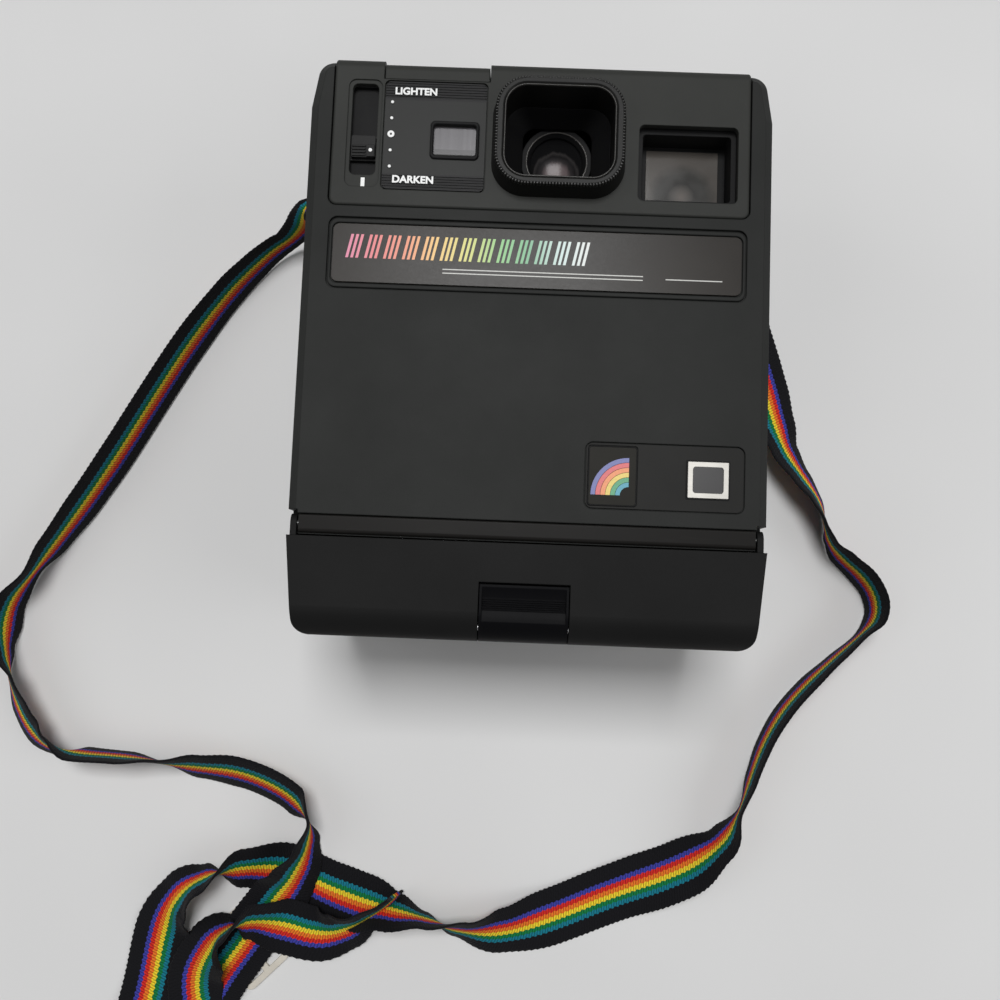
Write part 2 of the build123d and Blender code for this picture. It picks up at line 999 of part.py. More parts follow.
tile_x = badge_left + badge_gap + tile_inset / 2 + tile_width / 2
badge_top = body_depth - badge_recess + badge_thickness
with BuildPart() as badge_panel:
    add(
        rounded_plate(
            badge_width - 2 * badge_gap,
            badge_height - 2 * badge_gap,
            badge_corner - badge_gap,
            (badge_x, badge_y),
            body_depth - badge_recess,
            badge_top,
        )
    )
    add(
        rounded_plate(
            tile_width,
            tile_height,
            tile_corner,
            (tile_x, badge_y),
            badge_top - tile_thickness,
            badge_top + 1,
        ),
        mode=Mode.SUBTRACT,
    )
badge_panel.part.label = "badge_panel"
export_step(badge_panel.part, "parts/badge_panel.step")

with BuildPart() as colour_tile:
    add(
        rounded_plate(
            tile_width - 2 * tile_gap,
            tile_height - 2 * tile_gap,
            tile_corner - tile_gap,
            (tile_x, badge_y),
            badge_top - tile_thickness,
            badge_top - 0.1,
        )
    )
colour_tile.part.label = "colour_tile"
export_step(colour_tile.part, "parts/colour_tile.step")

with BuildPart() as metal_badge:
    add(
        rounded_plate(
            metal_badge_width,
            metal_badge_height,
            0.3,
            (metal_badge_x, metal_badge_y),
            badge_top,
            badge_top + metal_badge_thickness,
        )
    )
    add(
        rounded_plate(
            metal_badge_width - 2 * metal_badge_frame,
            metal_badge_height - 2 * metal_badge_frame,
            0.9,
            (metal_badge_x, metal_badge_y),
            badge_top + metal_badge_thickness - 0.25,
            badge_top + 5,
        ),
        mode=Mode.SUBTRACT,
    )
metal_badge.part.label = "metal_badge"
export_step(metal_badge.part, "parts/metal_badge.step")

# ---------------------------------------------------------------- lens hood, baffle and lens
hood_top = body_depth + hood_rise
mouth_floor = body_depth - hood_spigot
with BuildPart() as lens_hood:
    with BuildSketch(Plane.XY.offset(body_depth)):
        with Locations((lens_x, lens_y)):
            RectangleRounded(hood_base_width, hood_base_height, hood_corner + 0.8)
    with BuildSketch(Plane.XY.offset(hood_top)):
        with Locations((lens_x, lens_y)):
            RectangleRounded(hood_top_width, hood_top_height, hood_corner)
    loft()
    add(
        rounded_plate(
            hood_hole_width, hood_hole_height, hood_hole_corner, (lens_x, lens_y), mouth_floor, body_depth
        )
    )
    add(
        rounded_plate(
            hood_mouth_width,
            hood_mouth_height,
            hood_mouth_corner,
            (lens_x, lens_y),
            mouth_floor - 1,
            hood_top + 1,
        ),
        mode=Mode.SUBTRACT,
    )
    # Bevels of the rim, outside and inside
    hood_rim = lens_hood.faces().sort_by(Axis.Z)[-1]
    chamfer(hood_rim.outer_wire().edges(), hood_edge)
    chamfer(lens_hood.faces().sort_by(Axis.Z)[-1].inner_wires()[0].edges(), hood_lip)
lens_hood.part.label = "lens_hood"
export_step(lens_hood.part, "parts/lens_hood.step")

baffle_back = mouth_floor - (baffle_depth - hood_spigot)
with BuildPart() as hood_baffle:
    with BuildSketch(Plane.XY.offset(mouth_floor)):
        with Locations((lens_x, lens_y)):
            RectangleRounded(hood_hole_width, hood_hole_height, hood_hole_corner)
    with BuildSketch(Plane.XY.offset(baffle_back - baffle_wall)):
        with Locations((lens_x, lens_y)):
            RectangleRounded(
                baffle_mouth_width + 2 * baffle_wall, baffle_mouth_height + 2 * baffle_wall, 4.0 + baffle_wall
            )
    loft()
    with BuildSketch(Plane.XY.offset(mouth_floor)):
        with Locations((lens_x, lens_y)):
            RectangleRounded(hood_mouth_width, hood_mouth_height, hood_mouth_corner)
    with BuildSketch(Plane.XY.offset(baffle_back - baffle_wall)):
        with Locations((lens_x, lens_y)):
            RectangleRounded(baffle_mouth_width, baffle_mouth_height, 4.0)
    loft(mode=Mode.SUBTRACT)
hood_baffle.part.label = "hood_baffle"
export_step(hood_baffle.part, "parts/hood_baffle.step")

# ---------------------------------------------------------------- lens unit
retainer_top = body_depth - lens_sink
barrel_top = retainer_top - retainer_height
barrel_bottom = barrel_top - barrel_length
shutter_top = barrel_bottom
shutter_bottom = shutter_top - shutter_plate_thickness
tower_front = shutter_bottom - post_height


def lens_disc(radius, middle_thickness, crown_height, x, y, bottom):
    """Glass disc domed on its upper side."""
    dome_radius = (radius**2 + crown_height**2) / (2 * crown_height)
    with BuildPart() as disc:
        with Locations((x, y, bottom)):
            Cylinder(radius, middle_thickness, align=(Align.CENTER, Align.CENTER, Align.MIN))
        with Locations((x, y, bottom + middle_thickness - dome_radius)):
            Sphere(dome_radius, mode=Mode.INTERSECT)
    return disc.part


with BuildPart() as lens_retainer:
    with BuildSketch(Plane.XY.offset(barrel_top)):
        with Locations((lens_x, lens_y)):
            Circle(retainer_radius)
            Circle(lens_radius - 0.8, mode=Mode.SUBTRACT)
    extrude(amount=retainer_height)
    chamfer(lens_retainer.faces().sort_by(Axis.Z)[-1].edges().sort_by(SortBy.LENGTH)[0], 1.2)
lens_retainer.part.label = "lens_retainer"
export_step(lens_retainer.part, "parts/lens_retainer.step")

with BuildPart() as lens_barrel:
    with BuildSketch(Plane.XY.offset(barrel_bottom)):
        with Locations((lens_x, lens_y)):
            Circle(retainer_radius)
            Circle(lens_radius, mode=Mode.SUBTRACT)
    extrude(amount=barrel_length)
    with BuildSketch(Plane.XY.offset(barrel_bottom)):
        with Locations((lens_x, lens_y)):
            Circle(lens_radius)
            Circle(rear_lens_radius, mode=Mode.SUBTRACT)
    extrude(amount=rear_lens_thickness)
lens_barrel.part.label = "lens_barrel"
export_step(lens_barrel.part, "parts/lens_barrel.step")

with BuildPart() as front_lens:
    add(
        lens_disc(
            lens_radius,
            lens_thickness,
            lens_crown,
            lens_x,
            lens_y,
            barrel_top - lens_thickness + lens_crown - lens_seat,
        )
    )
front_lens.part.label = "front_lens"
export_step(front_lens.part, "parts/front_lens.step")

with BuildPart() as rear_lens:
    add(lens_disc(rear_lens_radius, rear_lens_thickness, 0.8, lens_x, lens_y, barrel_bottom))
rear_lens.part.label = "rear_lens"
export_step(rear_lens.part, "parts/rear_lens.step")

# ---------------------------------------------------------------- shutter
post_offset = shutter_size / 2 - 2 * post_radius
blade_low_z = tower_front + blade_lift
blade_high_z = blade_low_z + blade_step
with BuildPart() as shutter_plate:
    with BuildSketch(Plane.XY.offset(shutter_bottom)):
        with Locations((lens_x, lens_y)):
            RectangleRounded(shutter_size, shutter_size, shutter_corner)
            Circle(aperture_radius, mode=Mode.SUBTRACT)
    extrude(amount=shutter_plate_thickness)
    with BuildSketch(Plane.XY.offset(tower_front)):
        with Locations((lens_x, lens_y)):
            with GridLocations(2 * post_offset, 2 * post_offset, 2, 2):
                Circle(post_radius)
            with Locations((-blade_pivot_x, blade_pivot_y), (blade_pivot_x, blade_pivot_y)):
                Circle(blade_pivot_radius)
    extrude(amount=post_height)
shutter_plate.part.label = "shutter_plate"
export_step(shutter_plate.part, "parts/shutter_plate.step")

blade_reach = sqrt(blade_pivot_x**2 + blade_pivot_y**2)
for side, name, blade_z in (
    (-1, "shutter_blade_left", blade_low_z),
    (1, "shutter_blade_right", blade_high_z),
):
    lean = degrees(atan2(-blade_pivot_y, -side * blade_pivot_x))
    with BuildPart() as shutter_blade:
        with BuildSketch(Plane.XY.offset(blade_z)):
            with Locations((lens_x + side * blade_pivot_x, lens_y + blade_pivot_y)):
                Circle(blade_width / 2 - 1)
                with Locations(Location((0, 0, 0), (0, 0, lean))):
                    with Locations((blade_reach / 2 + blade_shift, 0)):
                        SlotOverall(blade_reach + blade_tail, blade_width)
                Circle(blade_pivot_radius + running_gap, mode=Mode.SUBTRACT)
        extrude(amount=blade_thickness)
    shutter_blade.part.label = name
    export_step(shutter_blade.part, f"parts/{name}.step")

# ---------------------------------------------------------------- viewfinder
finder_glass_z = body_depth - finder_glass_depth
step_z = body_depth - finder_step_depth
tunnel_back = wall + 1.2
with BuildPart() as viewfinder_tunnel:
    add(
        rounded_plate(
            finder_width + 2 * finder_wall,
            finder_height + 2 * finder_wall,
            finder_corner + finder_wall,
            (finder_x, finder_y),
            finder_glass_z - finder_lens_thickness - finder_wall,
            front_inner,
        )
    )
    add(
        rounded_plate(
            finder_glass_width + 2 * finder_wall,
            finder_glass_height + 2 * finder_wall,
            1.5,
            (finder_x, finder_y),
            tunnel_back,
            finder_glass_z,
        )
    )
    add(
        rounded_plate(finder_width, finder_height, finder_corner, (finder_x, finder_y), step_z, body_depth),
        mode=Mode.SUBTRACT,
    )
    add(
        rounded_plate(
            finder_width - 2 * finder_step,
            finder_height - 2 * finder_step,
            1.0,
            (finder_x, finder_y),
            finder_glass_z,
            body_depth,
        ),
        mode=Mode.SUBTRACT,
    )
    add(
        rounded_plate(
            finder_glass_width,
            finder_glass_height,
            0.4,
            (finder_x, finder_y),
            finder_glass_z - finder_lens_thickness,
            body_depth,
        ),
        mode=Mode.SUBTRACT,
    )
    add(
        rounded_plate(
            finder_glass_width - 1.6,
            finder_glass_height - 1.6,
            0.4,
            (finder_x, finder_y),
            tunnel_back - 1,
            body_depth,
        ),
        mode=Mode.SUBTRACT,
    )
viewfinder_tunnel.part.label = "viewfinder_tunnel"
export_step(viewfinder_tunnel.part, "parts/viewfinder_tunnel.step")

with BuildPart() as viewfinder_front_lens:
    add(
        rounded_plate(
            finder_glass_width,
            finder_glass_height,
            0.4,
            (finder_x, finder_y),
            finder_glass_z - finder_lens_thickness,
            finder_glass_z,
        )
    )
viewfinder_front_lens.part.label = "viewfinder_front_lens"
export_step(viewfinder_front_lens.part, "parts/viewfinder_front_lens.step")

with BuildPart() as eyepiece:
    with BuildSketch(Plane.XY.offset(eyepiece_sink)):
        with Locations((finder_x, finder_y)):
            Circle(eyepiece_radius)
            Circle(eye_lens_radius, mode=Mode.SUBTRACT)
    extrude(amount=tunnel_back - eyepiece_sink)
    with BuildSketch(Plane.XY.offset(wall)):
        with Locations((finder_x, finder_y)):
            Circle(eyepiece_flange)
            Circle(eye_lens_radius, mode=Mode.SUBTRACT)
    extrude(amount=tunnel_back - wall)
    chamfer(eyepiece.faces().sort_by(Axis.Z)[0].edges().sort_by(SortBy.LENGTH)[0], 1.0)
eyepiece.part.label = "eyepiece"
export_step(eyepiece.part, "parts/eyepiece.step")

with BuildPart() as viewfinder_rear_lens:
    add(lens_disc(eye_lens_radius, 1.6, 0.6, finder_x, finder_y, eyepiece_sink + 1.2))
viewfinder_rear_lens.part.label = "viewfinder_rear_lens"
export_step(viewfinder_rear_lens.part, "parts/viewfinder_rear_lens.step")

# ---------------------------------------------------------------- film tray, pack and springs
tray_front = pack_front + pack_fit + tray_wall
tray_bottom = casing_bottom + wall
pack_low = casing_bottom + pack_seat
pack_high = finder_y - finder_height / 2 - finder_wall - pack_finder_gap
window_length = pack_high - pack_low - 2 * window_margin
tray_top = pack_high + pack_fit + tray_wall
window_y = (pack_low + pack_high) / 2 + window_rise

with BuildPart() as film_tray:
    add(
        block_between(
            (film_x - tray_half_width, tray_bottom, wall), (film_x + tray_half_width, tray_top, tray_front)
        )
    )
    add(
        block_between(
            (film_x - pack_width / 2 - pack_fit, tray_bottom - 1, wall - 1),
            (film_x + pack_width / 2 + pack_fit, tray_top - tray_wall, tray_front - tray_wall),
        ),
        mode=Mode.SUBTRACT,
    )
    add(
        block_between(
            (film_x - window_width / 2, window_y - window_length / 2, wall),
            (film_x + window_width / 2, window_y + window_length / 2, tray_front + 1),
        ),
        mode=Mode.SUBTRACT,
    )
film_tray.part.label = "film_tray"
export_step(film_tray.part, "parts/film_tray.step")

with BuildPart() as film_pack:
    add(
        block_between(
            (film_x - pack_width / 2, pack_low, pack_back), (film_x + pack_width / 2, pack_high, pack_front)
        )
    )
    fillet(film_pack.edges().filter_by(Axis.Y), pack_corner)
    add(
        block_between(
            (film_x - window_width / 2, window_y - window_length / 2, pack_front - window_sink),
            (film_x + window_width / 2, window_y + window_length / 2, pack_front + 1),
        ),
        mode=Mode.SUBTRACT,
    )
    add(
        block_between(
            (film_x - film_width / 2 - exit_margin, pack_low - 1, film_plane - exit_half_width),
            (film_x + film_width / 2 + exit_margin, pack_low + exit_length, film_plane + exit_half_width),
        ),
        mode=Mode.SUBTRACT,
    )
film_pack.part.label = "film_pack"
export_step(film_pack.part, "parts/film_pack.step")

spring_crest = pack_back - spring_touch
spring_inner = spring_reach - spring_foot
with BuildPart() as pack_springs:
    for x in (film_x - spring_offset - spring_width / 2, film_x + spring_offset - spring_width / 2):
        with BuildSketch(Plane.YZ.offset(x)):
            with BuildLine():
                ThreePointArc((-spring_reach, wall), (0, spring_crest), (spring_reach, wall))
                Line((spring_reach, wall), (spring_inner, wall))
                ThreePointArc((spring_inner, wall), (0, spring_crest - spring_leaf), (-spring_inner, wall))
                Line((-spring_inner, wall), (-spring_reach, wall))
            make_face()
        extrude(amount=spring_width)
pack_springs.part.label = "pack_springs"
export_step(pack_springs.part, "parts/pack_springs.step")

# ---------------------------------------------------------------- light box and mirrors
box_back = tray_front
box_low = tray_bottom
box_knee = (box_low, knee_height)
mirror_foot = (panel_bottom - mirror_foot_drop, mirror_foot_height)
mirror_head = (panel_bottom - mirror_head_drop, front_inner)
box_high = panel_bottom - box_drop
tower_top = shell_top - wall - tower_gap
tower_heel = (box_high, box_back + heel_rise)
tower_heel_top = (tower_top, box_back + heel_top_rise)


def offset_strip(start, end, side, near, far, margin):
    """Corners of a strip that runs along a wall line, between two distances from it."""
    dy = end[0] - start[0]
    dz = end[1] - start[1]
    length = sqrt(dy**2 + dz**2)
    along = (dy / length, dz / length)
    across = (-along[1] * side, along[0] * side)
    corners = []
    for reach, distance in ((margin, near), (length - margin, near), (length - margin, far), (margin, far)):
        corners.append(
            (
                start[0] + along[0] * reach + across[0] * distance,
                start[1] + along[1] * reach + across[1] * distance,
            )
        )
    return corners


box_profile = [
    (box_low, box_back),
    box_knee,
    mirror_foot,
    mirror_head,
    (box_high, front_inner),
    (box_high, box_back),
]
tower_profile = [tower_heel, tower_heel_top, (tower_top, tower_front), (box_high, tower_front)]

with BuildPart() as light_box:
    with BuildSketch(Plane.YZ.offset(film_x - box_half_width)):
        with BuildLine():
            Polyline(*box_profile, close=True)
        make_face()
    extrude(amount=2 * box_half_width)
    with BuildSketch(Plane.YZ.offset(lens_x - tower_half_width)):
        with BuildLine():
            Polyline(*tower_profile, close=True)
        make_face()
    extrude(amount=2 * tower_half_width)
    with BuildSketch(Plane.YZ.offset(film_x - box_half_width + box_wall)):
        with BuildLine():
            Polyline(*box_profile, close=True)
        make_face()
        offset(amount=-box_wall, kind=Kind.INTERSECTION)
    extrude(amount=2 * (box_half_width - box_wall), mode=Mode.SUBTRACT)
    with BuildSketch(Plane.YZ.offset(lens_x - tower_half_width + box_wall)):
        with BuildLine():
            Polyline(*tower_profile, close=True)
        make_face()
        offset(amount=-box_wall, kind=Kind.INTERSECTION)
    extrude(amount=2 * (tower_half_width - box_wall), mode=Mode.SUBTRACT)
    # Passage between box and tower, film window and lens hole
    add(
        block_between(
            (lens_x - tower_half_width + box_wall, box_high - 2 * box_wall, tower_heel[1] + 3 * box_wall),
            (lens_x + tower_half_width - box_wall, box_high + 2 * box_wall, tower_front - box_wall),
        ),
        mode=Mode.SUBTRACT,
    )
    add(
        block_between(
            (film_x - box_half_width + box_wall, window_y - window_length / 2, box_back - 1),
            (film_x + box_half_width - box_wall, window_y + window_length / 2, box_back + 2 * box_wall),
        ),
        mode=Mode.SUBTRACT,
    )
    with Locations((lens_x, lens_y, tower_front)):
        Cylinder(aperture_radius + 1.5, 4 * box_wall, mode=Mode.SUBTRACT)
light_box.part.label = "light_box"
export_step(light_box.part, "parts/light_box.step")

with BuildPart() as mirrors:
    upper_strip = offset_strip(
        tower_heel, tower_heel_top, 1, box_wall, box_wall + mirror_thickness, 2 * mirror_margin
    )
    with BuildSketch(Plane.YZ.offset(lens_x - tower_half_width + box_wall + mirror_margin)):
        with BuildLine():
            Polyline(*upper_strip, close=True)
        make_face()
    extrude(amount=2 * (tower_half_width - box_wall - mirror_margin))
    lower_strip = offset_strip(
        mirror_foot, mirror_head, -1, box_wall, box_wall + mirror_thickness, 2 * mirror_margin
    )
    with BuildSketch(Plane.YZ.offset(film_x - box_half_width + box_wall + mirror_margin)):
        with BuildLine():
            Polyline(*lower_strip, close=True)
        make_face()
    extrude(amount=2 * (box_half_width - box_wall - mirror_margin))
mirrors.part.label = "mirrors"
export_step(mirrors.part, "parts/mirrors.step")

# ---------------------------------------------------------------- battery, hatch and circuit board
battery_x = wall - half_width + battery_gap + battery_thickness / 2
with BuildPart() as battery:
    add(
        block_between(
            (battery_x - battery_thickness / 2, battery_bottom, battery_back),
            (battery_x + battery_thickness / 2, battery_top, battery_back + battery_width),
        )
    )
    fillet(battery.edges().filter_by(Axis.Y), battery_corner)
battery.part.label = "battery"
export_step(battery.part, "parts/battery.step")

with BuildPart() as battery_contacts:
    for z in (battery_back + battery_width / 4, battery_back + 3 * battery_width / 4):
        add(
            block_between(
                (battery_x - terminal_width / 2, battery_top, z - terminal_length / 2),
                (battery_x + terminal_width / 2, battery_top + contact_height, z + terminal_length / 2),
            )
        )
battery_contacts.part.label = "battery_contacts"
export_step(battery_contacts.part, "parts/battery_contacts.step")

with BuildPart() as battery_hatch:
    with BuildSketch(Plane.XZ.offset(-hatch_high + hatch_gap)):
        with Locations((hatch_axis_x, hatch_axis_z)):
            Circle(hatch_thickness / 2)
        with Locations((hatch_axis_x, (hatch_axis_z + hatch_back + hatch_gap) / 2)):
            Rectangle(hatch_thickness, hatch_axis_z - hatch_back - hatch_gap)
    extrude(amount=hatch_high - hatch_low - 2 * hatch_gap)
    with Locations((hatch_axis_x, (hatch_low + hatch_high) / 2, hatch_axis_z)):
        Cylinder(hatch_pin_radius, hatch_high - hatch_low + 2 * hatch_pin_length, rotation=(90, 0, 0))
    # Finger nick at the free edge
    with Locations((-half_width, (hatch_low + hatch_high) / 2, hatch_back + nick_rise)):
        Cylinder(nick_radius, nick_length, rotation=(90, 0, 0), mode=Mode.SUBTRACT)
battery_hatch.part.label = "battery_hatch"
export_step(battery_hatch.part, "parts/battery_hatch.step")

board_x = film_x - box_half_width - board_thickness
board_y = window_y - board_drop
board_back = tray_front + board_gap
board_z = board_back + board_depth / 2
with BuildPart() as circuit_board:
    add(
        block_between(
            (board_x, board_y - board_length / 2, board_back),
            (board_x + board_thickness, board_y + board_length / 2, board_back + board_depth),
        )
    )
circuit_board.part.label = "circuit_board"
export_step(circuit_board.part, "parts/circuit_board.step")

with BuildPart() as board_parts:
    with Locations((board_x - capacitor_radius, board_y + capacitor_rise, board_z)):
        Cylinder(capacitor_radius, capacitor_length, rotation=(90, 0, 0))
    with Locations((board_x - chip_height / 2, board_y - chip_drop, board_z)):
        Box(chip_height, chip_length, chip_width)
    with Locations((board_x - coil_height / 2, board_y - coil_drop, board_z)):
        Cylinder(coil_radius, coil_height, rotation=(0, 90, 0))
board_parts.part.label = "board_parts"
export_step(board_parts.part, "parts/board_parts.step")

# ---------------------------------------------------------------- shutter button and its spring
flange_top = half_height - wall
button_low = flange_top - button_thickness + button_skirt
stem_low = guide_low - stem_tail
with BuildPart() as shutter_button:
    add(
        block_between(
            (button_x - button_width / 2, button_low, button_back),
            (button_x + button_width / 2, half_height, button_front),
        )
    )
    fillet(shutter_button.faces().sort_by(Axis.Y)[-1].edges(), button_edge)
    add(
        block_between(
            (button_x - button_width / 2 - button_flange, button_low, button_back - button_flange),
            (button_x + button_width / 2 + button_flange, flange_top - 0.1, button_front + button_flange),
        )
    )
    with Locations((button_x, (button_low + stem_low) / 2, button_height_above_back)):
        Cylinder(button_stem_radius, button_low - stem_low, rotation=(90, 0, 0))
shutter_button.part.label = "shutter_button"
export_step(shutter_button.part, "parts/shutter_button.step")

spring_room = button_low - guide_high - spring_wire
with BuildPart() as button_spring:
    with BuildLine():
        spring_path = Helix(
            spring_room / spring_coils,
            spring_room,
            button_stem_radius + 1.0,
            center=(button_x, guide_high + spring_wire / 2, button_height_above_back),
            direction=(0, 1, 0),
        )
    with BuildSketch(Plane(origin=spring_path @ 0, z_dir=spring_path % 0)):
        Circle(spring_wire / 2)
    sweep()
button_spring.part.label = "button_spring"
export_step(button_spring.part, "parts/button_spring.step")

# ---------------------------------------------------------------- screws and strap lugs
with BuildPart() as case_screws:
    for x, y in screw_places:
        with Locations((x, y, rear_depth - screw_grip)):
            Cylinder(screw_head_radius, screw_head_height, align=(Align.CENTER, Align.CENTER, Align.MAX))
            Cylinder(screw_radius, screw_length, align=(Align.CENTER, Align.CENTER, Align.MIN))
            with Locations((0, 0, -screw_head_height)):
                Box(0.8, 2 * screw_head_radius, 1.2, mode=Mode.SUBTRACT)
case_screws.part.label = "case_screws"
export_step(case_screws.part, "parts/case_screws.step")

lug_outer = half_width + lug_reach
with BuildPart() as strap_lugs:
    for side in (-1, 1):
        near, far = sorted((side * half_width, side * lug_outer))
        slot_near, slot_far = sorted((side * half_width, side * (half_width + lug_slot_width)))
        add(
            block_between(
                (near, lug_y - lug_length / 2, lug_rise - lug_thickness / 2),
                (far, lug_y + lug_length / 2, lug_rise + lug_thickness / 2),
            )
        )
        add(
            block_between(
                (slot_near, lug_y - lug_slot_length / 2, lug_rise - lug_thickness),
                (slot_far, lug_y + lug_slot_length / 2, lug_rise + lug_thickness),
            ),
            mode=Mode.SUBTRACT,
        )
strap_lugs.part.label = "strap_lugs"
export_step(strap_lugs.part, "parts/strap_lugs.step")

# ---------------------------------------------------------------- lower cover
nose_y = nose_radius - half_height
nose_z = body_depth - nose_radius
latch_high = base_top - latch_top - latch_top_gap
latch_low = body_depth - latch_depth
latch_y = base_top - latch_pin_drop
latch_z = body_depth - latch_pin_depth
ear_inner = band_half_width + 2 * ear_gap
boss_inner = latch_half_width + latch_gap
boss_outer = boss_inner + latch_boss_length


def cover_block(inset=0.0):
    """Outer shape of the lower cover, or its hollow when drawn in by the wall."""
    top_half = half_width + base_step - inset
    low_half = top_half - base_taper
    low = inset - half_height
    high = base_top + inset
    back = base_lift + inset
    front = body_depth - inset
    with BuildPart() as block:
        with BuildSketch(Plane.XY.offset(back)) as outline:
            with BuildLine():
                Polyline((-low_half, low), (low_half, low), (top_half, high), (-top_half, high), close=True)
            make_face()
            fillet(outline.vertices().group_by(Axis.Y)[0], max(base_corner - inset, base_inner_corner))
        extrude(amount=front - back)
        with BuildSketch(Plane.YZ.offset(-2 * half_width)) as profile:
            with BuildLine():
                Polyline((low, back), (high, back), (high, front), (low, front), close=True)
            make_face()
            fillet(profile.vertices().group_by(Axis.X)[0].sort_by(Axis.Y)[-1], nose_radius - inset)
            fillet(
                profile.vertices().group_by(Axis.X)[0].sort_by(Axis.Y)[0],
                max(base_corner - inset, base_inner_corner),
            )
        extrude(amount=4 * half_width, mode=Mode.INTERSECT)
    return block.part


with BuildPart() as lower_cover:
    add(cover_block())
    add(cover_block(wall), mode=Mode.SUBTRACT)
    # Slot that the picture comes out of
    with Locations((film_x, -half_height, film_plane)):
        Box(film_width + 2 * exit_slot_width, 4 * wall, exit_slot_width, mode=Mode.SUBTRACT)
    # Window for the latch, and the bosses of its pin
    add(
        block_between(
            (-boss_inner, -half_height - 1, latch_low - latch_gap),
            (boss_inner, base_top - latch_top, body_depth + 1),
        ),
        mode=Mode.SUBTRACT,
    )
    for boss_start in (-boss_outer, boss_inner):
        add(rod_along_x(boss_start, boss_start + latch_boss_length, latch_y, latch_z, latch_hub_radius))
    add(rod_along_x(-boss_outer, boss_outer, latch_y, latch_z, latch_pin_radius), mode=Mode.SUBTRACT)
    # Ears around the hinge pins
    for ear_start in (-ear_inner - ear_thickness, ear_inner):
        add(
            block_between(
                (ear_start, base_top - 2 * ear_radius, door_axis_z - ear_radius),
                (ear_start + ear_thickness, door_axis_y, door_axis_z + ear_radius),
            )
        )
        add(rod_along_x(ear_start, ear_start + ear_thickness, door_axis_y, door_axis_z, ear_radius))
        add(
            rod_along_x(
                ear_start - 1,
                ear_start + ear_thickness + 1,
                door_axis_y,
                door_axis_z,
                hinge_pin_radius + running_gap,
            ),
            mode=Mode.SUBTRACT,
        )
lower_cover.part.label = "lower_cover"
export_step(lower_cover.part, "parts/lower_cover.step")

# ---------------------------------------------------------------- latch, its pin and its spring
with BuildPart() as door_latch:
    with BuildSketch(Plane.YZ.offset(-latch_half_width)):
        with BuildLine():
            Line((latch_high, body_depth), (nose_y, body_depth))
            CenterArc((nose_y, nose_z), nose_radius, 90, 90)
            Line((-half_height, nose_z), (-half_height, latch_low))
            Line((-half_height, latch_low), (latch_thickness - half_height, latch_low))
            Line((latch_thickness - half_height, latch_low), (latch_thickness - half_height, nose_z))
            CenterArc((nose_y, nose_z), nose_radius - latch_thickness, 90, 90)
            Line((nose_y, body_depth - latch_thickness), (latch_high, body_depth - latch_thickness))
            Line((latch_high, body_depth - latch_thickness), (latch_high, body_depth))
        make_face()
    extrude(amount=2 * latch_half_width)
    add(rod_along_x(-latch_half_width, latch_half_width, latch_y, latch_z, latch_hub_radius))
    add(
        rod_along_x(
            -latch_half_width - 1, latch_half_width + 1, latch_y, latch_z, latch_pin_radius + running_gap
        ),
        mode=Mode.SUBTRACT,
    )
    # Finger scoop near the upper edge, and grip ribs below it
    scoop_radius = ((latch_scoop_length / 2) ** 2 + latch_scoop_depth**2) / (2 * latch_scoop_depth)
    add(
        rod_along_x(
            latch_scoop_margin - latch_half_width,
            latch_half_width - latch_scoop_margin,
            latch_high - latch_scoop_length / 2 - latch_scoop_drop,
            body_depth + scoop_radius - latch_scoop_depth,
            scoop_radius,
        ),
        mode=Mode.SUBTRACT,
    )
    for number in range(latch_rib_count):
        rib_high = latch_high - latch_rib_drop - latch_rib_pitch * number
        add(
            block_between(
                (
                    latch_scoop_margin - latch_half_width,
                    rib_high - latch_rib_pitch / 2,
                    body_depth - latch_thickness * 0.75,
                ),
                (latch_half_width - latch_scoop_margin, rib_high, body_depth - latch_rib_sink),
            )
        )
door_latch.part.label = "door_latch"
export_step(door_latch.part, "parts/door_latch.step")

with BuildPart() as latch_pin:
    add(rod_along_x(-boss_outer, boss_outer, latch_y, latch_z, latch_pin_radius))
latch_pin.part.label = "latch_pin"
export_step(latch_pin.part, "parts/latch_pin.step")

leaf_thickness = 0.4
leaf_width = 8.0
leaf_foot = wall + leaf_thickness / 2 - half_height
leaf_bend = latch_low - latch_gap - 2.0
with BuildPart() as latch_spring:
    with BuildLine():
        leaf_start = Line((0, leaf_foot, leaf_bend - leaf_width), (0, leaf_foot, leaf_bend))
        TangentArc(
            (0, leaf_foot, leaf_bend),
            (
                0,
                latch_high - latch_leaf_drop,
                body_depth - latch_thickness - leaf_thickness,
            ),
            tangent=(0, 0, 1),
        )
    with BuildSketch(Plane(origin=leaf_start @ 0, x_dir=(1, 0, 0), z_dir=leaf_start % 0)):
        Rectangle(leaf_width, leaf_thickness)
    sweep()
latch_spring.part.label = "latch_spring"
export_step(latch_spring.part, "parts/latch_spring.step")

# ---------------------------------------------------------------- rollers and gear train
roller_left = film_x - roller_length / 2
roller_right = film_x + roller_length / 2
frame_left = roller_left - frame_gap - frame_plate
frame_right = roller_right + frame_gap
gear_left = frame_left - gear_gap - gear_width
roller_pitch_radius = gear_module * roller_teeth / 2
idler_pitch_radius = gear_module * idler_teeth / 2
gear_distance = roller_pitch_radius + idler_pitch_radius + gear_backlash
idler_z = drive_z + sqrt(gear_distance**2 - (idler_y - roller_y) ** 2)
pinion_z = idler_z + sqrt(gear_distance**2 - (pinion_y - idler_y) ** 2)


